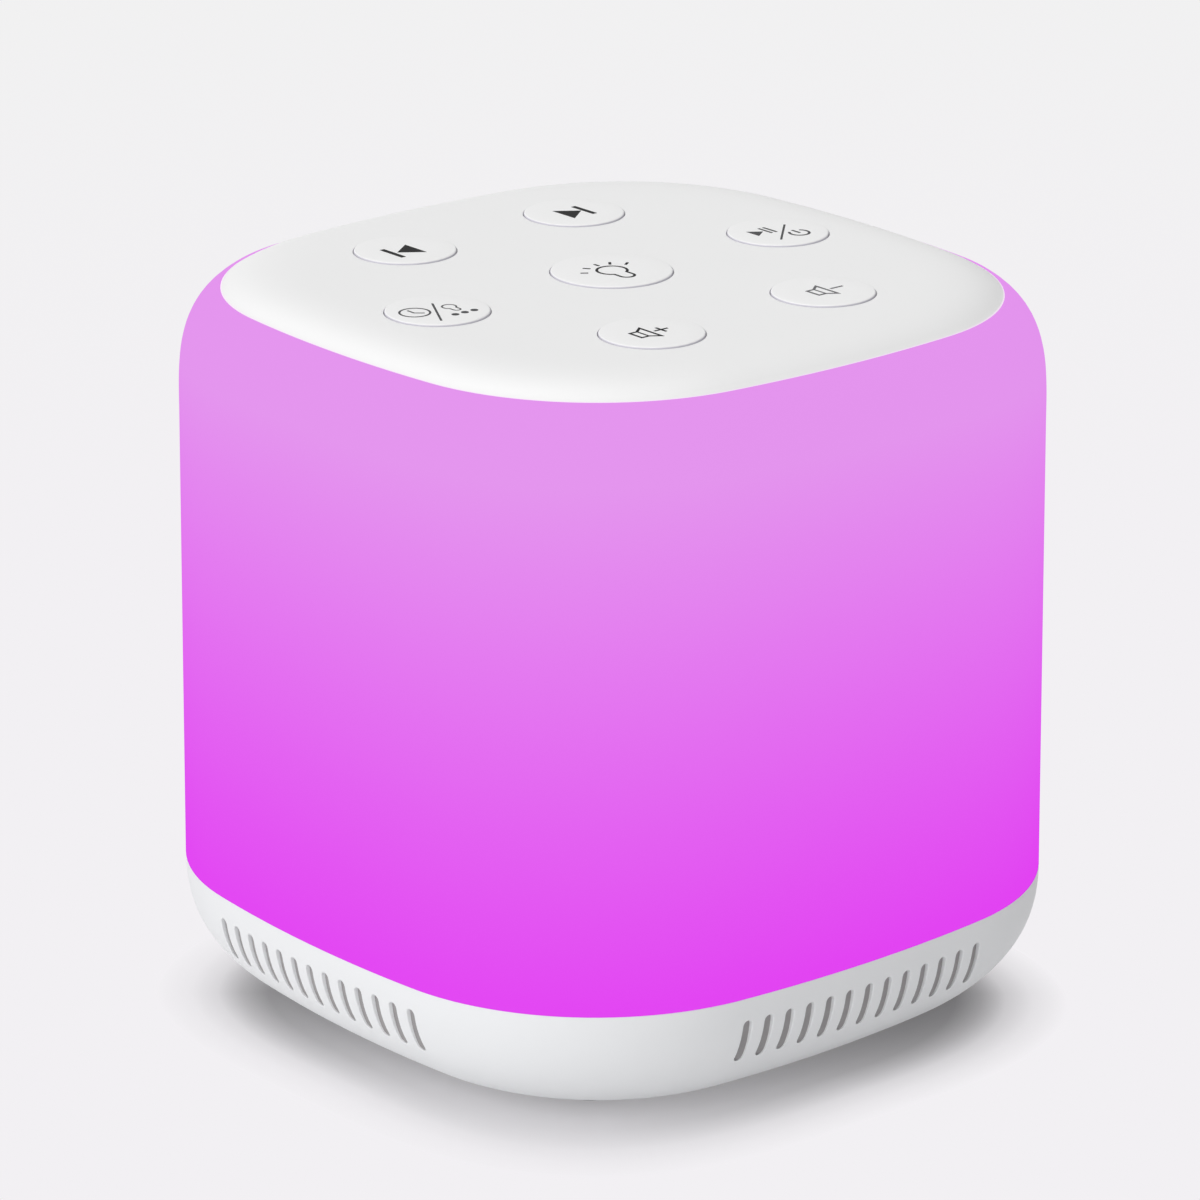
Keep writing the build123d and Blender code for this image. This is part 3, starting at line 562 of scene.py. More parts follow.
HOUSING = Moulding("housing white", "housing_white", linear(240, 241, 243))
# The cover's rim band at the seam is darkened and given a painted pale pink glow, a painted
# highlight along the seam.
COVER = Banded(
    "cover white", "cover_white", linear(243, 243, 243), band=(0.22, 0.22, 0.22),
    light=(0.7, 0.58, 0.71), fade_z=(97.07 * MM, 97.15 * MM), floor_z=96.85 * MM,
)
# The caps' rounded rims and side walls below the face take a painted lilac-grey shade, tinted pink
# like the glow.
KEY = Banded(
    "key white", "key_white", linear(245, 245, 245), roughness=0.45,
    band=linear(212, 210, 219), fade_z=(99.2 * MM, 99.3 * MM),
)
GLOW = Glow(
    "diffuser glow", "diffuser_glow", (227, 71, 243), (228, 149, 238), 21.5 * MM, 88.0 * MM
)
INK_DARK = ink("ink dark", linear(15, 15, 16))
INK_GREY = ink("ink grey", linear(72, 72, 74))
INK_PALE = ink("ink pale", linear(108, 108, 110))
STEEL = Metal("zinc plated steel", "steel", linear(196, 196, 198))
CLOTH = Weave("slot cloth", "mesh_grey", linear(168, 165, 166), linear(128, 125, 126), 0.22 * MM)
FOOT = rubber("foot rubber", "foot_rubber", linear(112, 112, 115), 0.35 * MM, 0.02 * MM)
SPIDER = Weave(
    "treated cloth", "spider_cloth", linear(206, 170, 96), linear(150, 112, 50), 0.5 * MM
)

NODE_FINISHES: dict[str, Finish] = {
    name: finish
    for names, finish in {
        "acoustic_mesh": Weave(
            "acoustic weave", "mesh_grey", linear(182, 181, 183), linear(128, 126, 128)
        ),
        "deck cable_conduit speaker_chamber": Moulding(
            "inner white", "inner_white", linear(232, 232, 232), mottle=0.04
        ),
        "switch_housings main_board_chips usb_tongue plunger_light plunger_play_power "
        "plunger_next plunger_previous plunger_timer plunger_volume_up plunger_volume_down": (
            Moulding("part black", "part_black", linear(32, 32, 33), relief=0.003 * MM)
        ),
        "key_board_connector main_board_connector speaker_terminals": Moulding(
            "ivory nylon", "part_ivory", linear(226, 222, 208)
        ),
        "speaker_basket": Moulding("basket grey", "inner_grey", linear(158, 160, 164)),
        "key_board main_board": Board(
            "green solder mask", "board_green", linear(16, 92, 52), linear(34, 128, 74)
        ),
        "led_board": Board(
            "white solder mask", "board_white", linear(236, 236, 232), linear(220, 220, 216)
        ),
        "speaker_top_plate speaker_back_plate usb_socket": STEEL,
        "voice_coil": Metal("copper winding", "coil_copper", linear(206, 132, 84), 0.25 * MM),
        "ribbon_cable": Stripes(
            "ribbon insulation", "ribbon_white", linear(228, 228, 228), linear(160, 160, 164),
            1.0 * MM,
        ),
        "capacitors": Stripes(
            "capacitor sleeve", "capacitor_sleeve", linear(60, 66, 120), linear(190, 196, 220),
            5.0 * MM, axis=2, gloss=0.25,
        ),
        "leds": Mottled(
            "lamp lens", "led_lens", linear(250, 232, 250), gain=0.6, lift=0.4, size=1 * MM,
            detail=2.0, roughness=0.18, swing=0.08, extra=(("Coat_Weight", 0.5),),
        ),
        "battery": Mottled(
            "pouch foil", "cell_foil", mixed(BLACK, linear(205, 207, 210), 0.85),
            gain=1 / 0.85, lift=0.0, size=5 * MM, detail=4.0, roughness=0.3, swing=0.15,
            depth=0.12 * MM, extra=(("Metallic", 0.85),),
        ),
        "led_leads speaker_leads battery_leads": rubber(
            "red wire", "wire_red", linear(176, 28, 28), 0.35 * MM, 0.004 * MM
        ),
        "speaker_gasket battery_pad": rubber(
            "black foam", "foam_black", linear(44, 44, 46), 0.6 * MM, 0.02 * MM
        ),
        "speaker_surround": rubber(
            "surround rubber", "surround_rubber", linear(40, 40, 41), 0.35 * MM, 0.02 * MM
        ),
        "speaker_magnet": pulp("ferrite", "magnet_grey", linear(60, 60, 62)),
        "speaker_cone dust_cap": pulp("cone pulp", "cone_paper", linear(44, 44, 46)),
    }.items()
    for name in names.split()
}


# ---- mesh building
class Shell:
    """Points and faces of a closed shell while it is being built."""

    def __init__(self) -> None:
        """Start with nothing."""
        self.points: list[Place] = []
        self.faces: list[tuple[int, ...]] = []

    def add(self, points: Iterable[Place]) -> list[int]:
        """Add points and return their numbers."""
        start = len(self.points)
        self.points.extend(points)
        return list(range(start, len(self.points)))

    def level(self, ring: Iterable[Point], z: float) -> list[int]:
        """Add points at one height and return their numbers."""
        return self.add((x, y, z) for x, y in ring)

    def bridge(self, low: Row, high: Row, closed: bool = True) -> None:
        """Join two rows of as many points with four-sided faces.

        Args:
            low: One row.
            high: The other row, in the same order.
            closed: Whether the last point joins up with the first.
        """
        count = len(low)
        for i in range(count if closed else count - 1):
            j = (i + 1) % count
            self.faces.append((low[i], low[j], high[j], high[i]))

    def skin(self, rows: Sequence[Row], closed: bool = True) -> None:
        """Join each row of points with the next."""
        for low, high in zip(rows, rows[1:]):
            self.bridge(low, high, closed)

    def lathe(self, profile: Path, centre: Point = (0.0, 0.0), steps: int = 32) -> Rows:
        """Turn a profile about an upright axis.

        Args:
            profile: Radius and height of each point; a radius of 0 makes a pole.
            centre: X and Y of the axis.
            steps: Faces around the axis.

        Returns:
            The point numbers of each ring.
        """
        rows = [
            self.level(circle(centre, radius, steps) if radius else [centre], z)
            for radius, z in profile
        ]
        for low, high in zip(rows, rows[1:]):
            if len(low) == 1 or len(high) == 1:
                ring, pole = max(low, high, key=len), min(low, high, key=len)[0]
                for i, start in enumerate(ring):
                    self.faces.append((start, ring[(i + 1) % len(ring)], pole))
            else:
                self.bridge(low, high)
        return rows

    def fill(self, rim: Row, holes: Sequence[Row] = (), guides: Row = ()) -> None:
        """Fill the area inside a rim with triangles, seen from above.

        Args:
            rim: Point numbers around the area.
            holes: Point numbers around each place that stays open.
            guides: Further points that the triangles meet at.
        """
        loops = [rim, *holes]
        numbers = [number for loop in loops for number in loop] + list(guides)
        flat = [Vector(self.points[number][:2]) / MM for number in numbers]
        edges, start = [], 0
        for loop in loops:
            count = len(loop)
            edges += [(start + i, start + (i + 1) % count) for i in range(count)]
            start += count
        made = delaunay_2d_cdt(flat, edges, [], 0, 1e-6)
        outer, *inner = [[self.points[number][:2] for number in loop] for loop in loops]
        for triangle in made[2]:
            corners = [numbers[made[3][i][0]] for i in triangle]
            middle = [sum(self.points[i][axis] for i in corners) / 3 for axis in (0, 1)]
            if within(middle, outer) and not any(within(middle, hole) for hole in inner):
                self.faces.append(tuple(corners))

    def prism(self, outline: Path, low_z: float, high_z: float) -> None:
        """Add a closed prism on an outline in X and Y."""
        low, high = self.level(outline, low_z), self.level(outline, high_z)
        self.bridge(low, high)
        self.faces += [tuple(low), tuple(high)]

    def posts(self, points: Path, radius: float, low: float, high: float, steps: int) -> None:
        """Add closed round posts on points, from one height to another."""
        for point in points:
            self.lathe([(0, low), (radius, low), (radius, high), (0, high)], point, steps)

    def side_blocks(self, half_width: float, out: Point, height: Point) -> None:
        """Add a closed box on each side, between two distances out and two heights."""
        for side in range(4):
            outline = [turned(x, y, side) for x, y in bar(0.0, *out, 2 * half_width)]
            self.prism(outline, *height)

    def build(self, name: str) -> Object:
        """Turn the shell into a linked object with outward faces, at the origin."""
        mesh = bpy.data.meshes.new(name)
        mesh.from_pydata(self.points, [], self.faces)
        piece = linked(name, mesh)
        tidy_mesh(piece)
        return piece


def linked(name: str, data: ID) -> Object:
    """Make an object of a mesh, lamp or camera and link it to the scene."""
    made = bpy.data.objects.new(name, data)
    bpy.context.scene.collection.objects.link(made)
    return made


def within(point: Sequence[float], outline: Sequence[Sequence[float]]) -> bool:
    """Tell whether a point lies inside a closed outline in X and Y.

    Args:
        point: X and Y of the point.
        outline: The outline's points.

    Returns:
        True if it lies inside.
    """
    x, y = point
    inside = False
    x0, y0 = outline[-1]
    for x1, y1 in outline:
        if (y0 > y) != (y1 > y) and x < x0 + (x1 - x0) * (y - y0) / (y1 - y0):
            inside = not inside
        x0, y0 = x1, y1
    return inside


def tidy_mesh(piece: Object) -> None:
    """Merge doubles, drop loose points, turn faces outwards and smooth the gentle edges.

    Args:
        piece: The object whose mesh changes.
    """
    work = bmesh.new()
    work.from_mesh(piece.data)
    bmesh.ops.remove_doubles(work, verts=work.verts, dist=MERGED)
    loose = [v for v in work.verts if not v.link_faces]
    bmesh.ops.delete(work, geom=loose, context="VERTS")
    bmesh.ops.recalc_face_normals(work, faces=work.faces)
    if work.calc_volume(signed=True) < 0:
        bmesh.ops.reverse_faces(work, faces=work.faces)
    for face in work.faces:
        face.smooth = True
    for edge in work.edges:
        edge.smooth = len(edge.link_faces) == 2 and edge.calc_face_angle(0.0) < SHARP
    work.to_mesh(piece.data)
    work.free()


def bake(piece: Object, modifier: Modifier) -> None:
    """Turn a piece with a modifier into a plain tidy mesh.

    Args:
        piece: The object whose mesh changes.
        modifier: Its only modifier.
    """
    graph = bpy.context.evaluated_depsgraph_get()
    made = bpy.data.meshes.new_from_object(piece.evaluated_get(graph))
    piece.modifiers.remove(modifier)
    old, piece.data = piece.data, made
    bpy.data.meshes.remove(old)
    made.name = piece.name
    tidy_mesh(piece)


def combined(piece: Object, tool: Shell, operation: str) -> None:
    """Unite a piece with a closed shape, or cut it with one.

    Args:
        piece: The object whose mesh changes.
        tool: The other shape.
        operation: UNION or DIFFERENCE.
    """
    shape = tool.build("tool")
    modifier = piece.modifiers.new(operation.lower(), "BOOLEAN")
    modifier.operation = operation
    modifier.solver = "EXACT"
    modifier.object = shape
    bake(piece, modifier)
    bpy.data.objects.remove(shape)


def place(piece: Object, body: str | None, finish: Finish, *stands_for: str) -> None:
    """Dress a piece, let it ride on its body and hide the nodes that it stands for.

    Args:
        piece: The finished object.
        body: The body that it moves with, or nothing where that is settled already.
        finish: Its finish.
        stands_for: Nodes of the frame that it replaces.
    """
    piece.data.materials.clear()
    piece.data.materials.append(finish.material())
    if body:
        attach(piece, body)
    if stands_for:
        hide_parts(*stands_for)
    log.info("%s: %d faces of %s", piece.name, len(piece.data.polygons), finish.name)


# ---- flat shapes
def turned(x: float, out: float, side: int) -> Point:
    """Return X and Y of a point given along and out of a side: front, right, rear or left."""
    return ((x, -out), (out, x), (-x, out), (-out, -x))[side]


def polar(centre: Point, radius: float, turn: float) -> Point:
    """Return the point at a radius and a turn from a centre."""
    return (centre[0] + radius * cos(turn), centre[1] + radius * sin(turn))


def circle(centre: Point, radius: float, steps: int) -> list[Point]:
    """Return evenly spaced points around a centre."""
    return [polar(centre, radius, 2 * pi * i / steps) for i in range(steps)]


def arc(centre: Point, radius: float, start: float, stop: float, steps: int = 24) -> list[Point]:
    """Return points along an arc, from one turn in degrees to another."""
    return [polar(centre, radius, radians(turn)) for turn in spaced(start, stop, steps)]


def bar(x: float, low: float, high: float, width: float) -> list[Point]:
    """Return a rectangle about the line from low to high at x."""
    half = width / 2
    return [(x - half, low), (x + half, low), (x + half, high), (x - half, high)]


def square(reach: float) -> list[Point]:
    """Return the four points at plus and minus reach along X and along Y."""
    return [(x, y) for x in (-reach, reach) for y in (-reach, reach)]


def rounding(size: float, step: int = 30) -> list[Point]:
    """Return a quarter round in steps of degrees, as what is left to go and what is gone."""
    turns = [radians(turn) for turn in range(0, 91, step)]
    return [(size * (1 - sin(turn)), size * (1 - cos(turn))) for turn in turns]


def rounded_loop(
    radius: float, run: float, rise: float, across: tuple[int, int], upright: tuple[int, int]
) -> list[Point]:
    """Return a rectangle with round corners, from the middle of its lower left corner round.

    Args:
        radius: Radius of the corners.
        run: Half of the straight length along.
        rise: Half of the straight length up.
        across: Spans of half a corner and of the straight, for the sides that run along.
        upright: The same for the sides that run up.

    Returns:
        The points, anticlockwise.
    """
    centres = [(-run, -rise), (run, -rise), (run, rise), (-run, rise)]
    loop = []
    for side in range(4):
        arc_steps, straight_steps = (across, upright)[side % 2]
        start, stop = centres[side], centres[(side + 1) % 4]
        first = radians(225 + 90 * side)
        step = radians(45) / max(1, arc_steps)
        middle = first + radians(45)
        loop += [polar(start, radius, first + step * i) for i in range(arc_steps)]
        ends = polar(start, radius, middle), polar(stop, radius, middle)
        loop += [mixed(*ends, i / straight_steps) for i in range(straight_steps)]
        loop += [polar(stop, radius, middle + step * i) for i in range(arc_steps)]
    return loop


def evenly(curve: Callable[[float], Point], start: float, stop: float, steps: int) -> list[Point]:
    """Return points on a curve, spaced evenly along it.

    Args:
        curve: Gives a point for a parameter.
        start: First parameter.
        stop: Last parameter.
        steps: Spans between the points.

    Returns:
        The points from start to stop.
    """
    marks_per_step = 60
    fine = marks_per_step * steps
    marks = [curve(at) for at in spaced(start, stop, fine)]
    lengths = [0.0]
    for (x0, y0), (x1, y1) in zip(marks, marks[1:]):
        lengths.append(lengths[-1] + hypot(x1 - x0, y1 - y0))
    picked, i = [], 0
    for step in range(steps + 1):
        goal = lengths[-1] * step / steps
        while i < fine and lengths[i] < goal:
            i += 1
        picked.append(marks[i])
    return picked


# ---- repeated parts
class GrowTree(Tree):
    """A geometry tree that repeats a part, with named inputs for its sizes."""

    def __init__(self, name: str) -> None:
        """Make a tree of a name that takes a geometry and gives one back."""
        super().__init__(bpy.data.node_groups.new(name, "GeometryNodeTree"))
        for way in ("INPUT", "OUTPUT"):
            self.new_socket("Geometry", "Geometry", way)
        self.inlet = self.tree.nodes.new("NodeGroupInput")
        self.values: dict[str, float | int] = {}
        self.given = Shade(self, self.inlet.outputs[0])

    def new_socket(self, name: str, kind: str, way: str = "INPUT") -> str:
        """Add an input or output of the tree and return its identifier."""
        kind = f"NodeSocket{kind}"
        return self.tree.interface.new_socket(name, in_out=way, socket_type=kind).identifier

    def sizes(self, **values: float | int) -> list[Shade]:
        """Add a named input for each value.

        Args:
            values: What the modifier sets each input to, by its name.

        Returns:
            The inputs' values, in that order.
        """
        made = []
        for key, value in values.items():
            name = key.replace("_", " ").capitalize()
            kind = "Int" if isinstance(value, int) else "Float"
            self.values[self.new_socket(name, kind)] = value
            made.append(Shade(self, self.inlet.outputs[name]))
        return made

    def geometry(self, kind: str, settings: dict | None = None, **inputs: Value) -> Shade:
        """Add a geometry node, its inputs spelled with underscores for spaces."""
        named = {key.replace("_", " "): value for key, value in inputs.items()}
        return self.node(f"GeometryNode{kind}", settings, named)

    def vector(self, x: Value, y: Value, z: Value) -> Shade:
        """Return three values as one vector."""
        return self.node("ShaderNodeCombineXYZ", inputs={0: x, 1: y, 2: z})

    def turned_grid(
        self, sides: Shade, rows: Shade, profile: Callable[[Shade, Shade], tuple[Shade, Shade]]
    ) -> Shade:
        """Wrap a grid about the upright axis as a closed turned shape.

        Args:
            sides: Faces around the axis.
            rows: Faces along the profile.
            profile: Gives radius and height for a turn from 0 to 1 and a place from 0 to 1.

        Returns:
            The shape, its seam and poles merged.
        """
        grid = self.geometry(
            "MeshGrid", Size_X=1.0, Size_Y=1.0, Vertices_X=sides + 1, Vertices_Y=rows + 1
        )
        at = self.split(self.geometry("InputPosition"))
        across, along = (axis + 0.5 for axis in at[:2])
        radius, height = profile(across, along)
        turn = across * (2 * pi)
        where = self.vector(
            radius * (turn + pi / 2).wave(2 * pi), radius * turn.wave(2 * pi), height
        )
        made = self.geometry("SetPosition", Geometry=grid, Position=where)
        return self.geometry("MergeByDistance", Geometry=made, Distance=MERGED)

    def cut(self, body: Shade, size: Shade, where: Shade) -> Shade:
        """Cut a block of a size, centred at a place, out of a closed body."""
        block = self.geometry("MeshCube", Size=size)
        tool = self.geometry("Transform", Geometry=block, Translation=where)
        settings = {"operation": "DIFFERENCE", "solver": "EXACT"}
        return self.node("GeometryNodeMeshBoolean", settings, {0: body, 1: tool})

    def instances(self, points: Shade, part: Shade, turn: Shade) -> Shade:
        """Put a part on each point, turned by an Euler vector."""
        rotation = self.node("FunctionNodeEulerToRotation", inputs={0: turn})
        return self.geometry("InstanceOnPoints", Points=points, Instance=part, Rotation=rotation)

    def grow(self, piece: Object, geometry: Shade, finish: Finish) -> None:
        """Close the tree, run it on a piece and keep the result as a plain mesh.

        Args:
            piece: The object whose mesh the tree is given.
            geometry: What the tree gives back.
            finish: The finish of all of it.
        """
        real = self.geometry("RealizeInstances", Geometry=geometry)
        dressed = self.geometry("SetMaterial", Geometry=real, Material=finish.material())
        self.node("NodeGroupOutput", inputs={0: dressed})
        modifier = piece.modifiers.new(self.tree.name, "NODES")
        modifier.node_group = self.tree
        for identifier, value in self.values.items():
            modifier[identifier] = value
        bake(piece, modifier)


# ---- outer form
@dataclass(frozen=True)
class Outline:
    """Eight tangent arcs, four bowed sides and four corners, in shares of the half width."""

    bow: float = 186.6 / 50.0
    corner: float = 32.5 / 50.0

    @property
    def side_centre(self) -> float:
        """Place of a side arc's centre along its own axis."""
        return 1 - self.bow

    @property
    def corner_centre(self) -> float:
        """Place of a corner arc's centre along X and along Y."""
        side = self.side_centre
        return (side + sqrt(2 * (self.bow - self.corner) ** 2 - side**2)) / 2

    @property
    def tangent(self) -> float:
        """Turn at which a side arc meets a corner arc."""
        return atan2(self.corner_centre, self.corner_centre - self.side_centre)

    def edge(self, x: float, half: float) -> float:
        """Return how far out the side lies at a place along it.

        Args:
            x: Distance from the middle of the side, along the side.
            half: Half width of the outline.

        Returns:
            Distance of the edge from the middle of the machine.
        """
        share = abs(x) / half
        if share <= self.bow * sin(self.tangent):
            return half * (self.side_centre + sqrt(self.bow**2 - share**2))
        run = share - self.corner_centre
        return half * (self.corner_centre + sqrt(self.corner**2 - run**2))

    def ring(self, half: float, stations: Sequence[float], corner_steps: int) -> list[Point]:
        """Return points around the whole outline, anticlockwise from the front.

        Args:
            half: Half width of the outline.
            stations: Places along each side, from left to right.
            corner_steps: Spans around each corner between two sides.

        Returns:
            X and Y of each point.
        """
        start = asin((stations[-1] / half - self.corner_centre) / self.corner)
        local = [(x, self.edge(x, half)) for x in stations]
        for i in range(1, corner_steps):
            turn = start + (pi / 2 - 2 * start) * i / corner_steps
            x = self.corner_centre + self.corner * sin(turn)
            y = self.corner_centre + self.corner * cos(turn)
            local.append((x * half, y * half))
        return [turned(x, y, side) for side in range(4) for x, y in local]

    def half_through(self, x: float, y: float) -> float:
        """Return the half width of the outline that passes through a point.

        Args:
            x: X of the point.
            y: Y of the point.

        Returns:
            The half width.
        """
        across, along = sorted((abs(x), abs(y)))
        if along == 0:
            return 0.0
        slope = across / along
        run = 1 / sqrt(1 + slope**2)
        rise = slope * run
        side = self.side_centre
        distance = side * run + sqrt((side * run) ** 2 - side**2 + self.bow**2)
        if atan2(distance * rise, distance * run - side) > self.tangent:
            centre = self.corner_centre
            middle = centre * (run + rise)
            distance = middle + sqrt(middle**2 - 2 * centre**2 + self.corner**2)
        return hypot(x, y) / distance


@dataclass(frozen=True)
class Form:
    """Heights and curves of the outer form, the same that the solids have."""

    half: float = 50.0 * MM
    joint_z: float = 20.3 * MM
    underside_z: float = 2.0 * MM
    base_depth: float = 35.0 * MM
    base_power: float = 2.42
    lean: float = 0.5 * MM
    top_z: float = 99.1 * MM
    shoulder_height: float = 17.9 * MM
    shoulder_depth: float = 15.9 * MM
    shoulder_power: float = 3.21
    panel: float = 2.0 * MM
    wall: float = 2.0 * MM
    ledge_thickness: float = 1.8 * MM
    ledge: float = 2.5 * MM
    base_wall: float = 2.2 * MM
    base_rise: float = 0.8 * MM
    fit: float = 0.2 * MM
    edge_break: float = 0.02 * MM
    seam_half: float = 44.5 * MM
    seam_drop: float = 0.12 * MM
    dip: float = 0.22 * MM
    dip_width: float = 4.0 * MM
    panel_edge: float = 0.12 * MM
    lip: float = 0.32 * MM
    lip_power: float = 3.27
    side_share: float = 0.42
    side_steps: int = 14
    corner_steps: int = 24
    outline: Outline = Outline()

    @property
    def shoulder_z(self) -> float:
        """Height at which the shoulder starts."""
        return self.top_z - self.shoulder_height

    @property
    def seam_z(self) -> float:
        """Height of the seam between diffuser and key panel."""
        return self.top_z - self.panel

    @property
    def rim_z(self) -> float:
        """Height at which the key panel's edge meets the diffuser."""
        return self.seam_z - self.seam_drop

    @property
    def inner_height(self) -> float:
        """Height of the shoulder inside the diffuser."""
        return self.seam_z - self.ledge_thickness - self.shoulder_z

    @property
    def panel_seat(self) -> float:
        """Half width inside which the key panel's skirt slips in."""
        share = (self.seam_z - self.shoulder_z) / self.shoulder_height
        turn = asin(min(1.0, share) ** (self.shoulder_power / 2))
        return self.shoulder(turn, self.shoulder_height)[0] - self.ledge

    def ring(self, half: float) -> list[Point]:
        """Return points around the outline, at the same shares of any half width."""
        reach = self.side_share * half
        return self.outline.ring(half, spaced(-reach, reach, self.side_steps), self.corner_steps)

    def dipped(self, half: float) -> float:
        """Height of the key panel's skin, which dips a little towards its edge."""
        share = max(0.0, (half - self.seam_half + self.dip_width) / self.dip_width)
        return self.panel_level(half) - self.dip * share**2

    def base_half(self, z: float) -> float:
        """Half width of the base at a height."""
        rise = min(1.0, max(0.0, (self.joint_z - z) / self.joint_z))
        share = (1 - rise**self.base_power) ** (1 / self.base_power)
        return self.half - self.base_depth * (1 - share)

    def cavity_half(self, z: float) -> float:
        """Half width of the base's inside at a height."""
        return self.base_half(z - self.base_rise) - self.base_wall

    def shoulder(
        self, turn: float, height: float, inset: float = 0.0, power: float | None = None
    ) -> Point:
        """Return half width and height on a shoulder curve.

        Args:
            turn: From 0, upright, to half pi, flat.
            height: Height of that shoulder.
            inset: How far it lies inside the outer skin.
            power: How full the curve is, the form's own if not given.

        Returns:
            Half width and height.
        """
        bend = 2 / (power or self.shoulder_power)
        run = self.shoulder_depth * (1 - cos(turn) ** bend)
        rise = height * sin(turn) ** bend
        return self.half - self.lean - inset - run, self.shoulder_z + rise

    def inner_turn(self, half: float) -> float:
        """Return the turn at which the inner shoulder has a half width."""
        run = (self.half - self.lean - self.wall - half) / self.shoulder_depth
        return acos((1 - run) ** (self.shoulder_power / 2))

    def panel_level(self, half: float) -> float:
        """Height of the key panel's skin, undipped, at a half width."""
        share = 1 - (self.half - self.lean - half) / self.shoulder_depth
        if share <= 0:
            return self.top_z
        rise = (1 - share**self.shoulder_power) ** (1 / self.shoulder_power)
        return self.shoulder_z + self.shoulder_height * rise


# ---- base
@dataclass
class Base:
    """The slotted base shell."""

    form: Form
    slot_count: int = 13
    cell_width: float = 3.26 * MM
    slot_pitch: float = 3.235 * MM
    slot_shift: tuple[float, ...] = (0.47 * MM, 0.0, 0.0, -0.16 * MM)
    slot_radius: float = 0.67 * MM
    slot_height: float = 6.1 * MM
    slot_z: float = 14.2 * MM
    slot_edge: float = 0.1 * MM
    slot_margin: float = 0.75 * MM
    slot_ring: float = 0.3 * MM
    port_slots: int = 3
    cell_columns: int = 4
    end_steps: int = 2
    straight_steps: int = 5
    corner_steps: int = 20
    skirt_steps: tuple[int, int] = (12, 8)
    upper_steps: int = 3
    floor_z: float = 4.2 * MM
    foot_place: float = 22.0 * MM
    foot_pocket: Point = (5.2 * MM, 2.8 * MM)
    head_bore: Point = (2.5 * MM, 6.2 * MM)
    shank_bore: Point = (1.45 * MM, 18.0 * MM)
    pillar_radius: float = 3.8 * MM
    standoff: Point = (2.4 * MM, 10.4 * MM)
    standoff_places: Place = (14.0 * MM, 11.0 * MM, 35.0 * MM)
    pilot: Point = (1.05 * MM, 6.4 * MM)
    post_steps: int = 24
    pilot_steps: int = 16
    cradle: Place = (17.9 * MM, 1.2 * MM, 4.0 * MM)
    cradle_run: Point = (-34.0 * MM, 2.0 * MM)
    port_z: float = 13.63 * MM
    port_size: Point = (9.64 * MM, 3.96 * MM)

    @property
    def stations(self) -> list[float]:
        """Places along a side where columns of the skin's mesh stand."""
        count = self.slot_count * self.cell_columns
        step = self.cell_width / self.cell_columns
        return [step * (i - count / 2) for i in range(count + 1)]

    @property
    def band_rows(self) -> int:
        """Spans of the mesh over the height of the slots."""
        return 2 * self.end_steps + self.straight_steps

    def ring(self, shell: Shell, half: float, z: float) -> list[int]:
        """Add the points around the base at a half width and a height."""
        return shell.level(self.form.outline.ring(half, self.stations, self.corner_steps), z)

    def slot_loop(self, margin: float) -> list[Point]:
        """Return a slot's outline, grown by a margin."""
        rise = self.slot_height / 2 - self.slot_radius
        across, upright = (self.end_steps, 0), (self.end_steps, self.straight_steps)
        return rounded_loop(self.slot_radius + margin, 0.0, rise, across, upright)

    @staticmethod
    def cell_loop(band: list, left: int, right: int) -> list[int]:
        """Return the numbers of the points around a cell of the band, from its lower left."""
        low, high = band[0], band[-1]
        loop = [*low[left:right], *(row[right] for row in band[:-1])]
        return [*loop, *high[right:left:-1], *(row[left] for row in reversed(band[1:]))]

    def on_skin(
        self, shell: Shell, loop: Path, centre: Point, side: int,
        half_at: Callable[[float], float], sink: float = 0.0,
    ) -> list[int]:
        """Lay an opening's outline on a skin.

        Args:
            shell: Takes the points.
            loop: The outline, along and up.
            centre: Where its middle lies, along and up.
            side: Which side it is on.
            half_at: Half width of the skin at a height.
            sink: How far the points are pulled inwards.

        Returns:
            The numbers of the points.
        """
        points = []
        for dx, dz in loop:
            x, z = centre[0] + dx, centre[1] + dz
            out = self.form.outline.edge(x, half_at(z)) - sink
            points.append((*turned(x, out, side), z))
        return shell.add(points)

    def slot_rows(self, shell: Shell, side: int, x: float) -> Rows:
        """Add the rows of points that lead through the wall at a slot.

        Args:
            shell: Takes the points.
            side: Which side the slot is on.
            x: Its place along the side.

        Returns:
            The numbers of the points in each row, from outside in.
        """
        outside, inside = self.form.base_half, self.form.cavity_half
        loops = [(self.slot_ring, 0.0, outside)]
        loops += [(margin, sink, outside) for margin, sink in rounding(self.slot_edge)]
        loops += [(0.0, 0.0, inside), (self.slot_ring, 0.0, inside)]
        return [
            self.on_skin(shell, self.slot_loop(margin), (x, self.slot_z), side, half_at, sink)
            for margin, sink, half_at in loops
        ]

    def port_rows(self, shell: Shell) -> Rows:
        """Add the rows of points that lead through the rear wall at the charging socket.

        Args:
            shell: Takes the points.

        Returns:
            The numbers of the points in each row, from outside in.
        """
        width, height = self.port_size
        columns = self.port_slots * self.cell_columns
        across = (self.end_steps, columns - 2 * self.end_steps)
        upright = (self.band_rows // 2, self.band_rows % 2)
        loop = rounded_loop(height / 2, (width - height) / 2, 0.0, across, upright)
        skins = (self.form.base_half, self.form.cavity_half)
        return [self.on_skin(shell, loop, (0.0, self.port_z), 2, half_at) for half_at in skins]

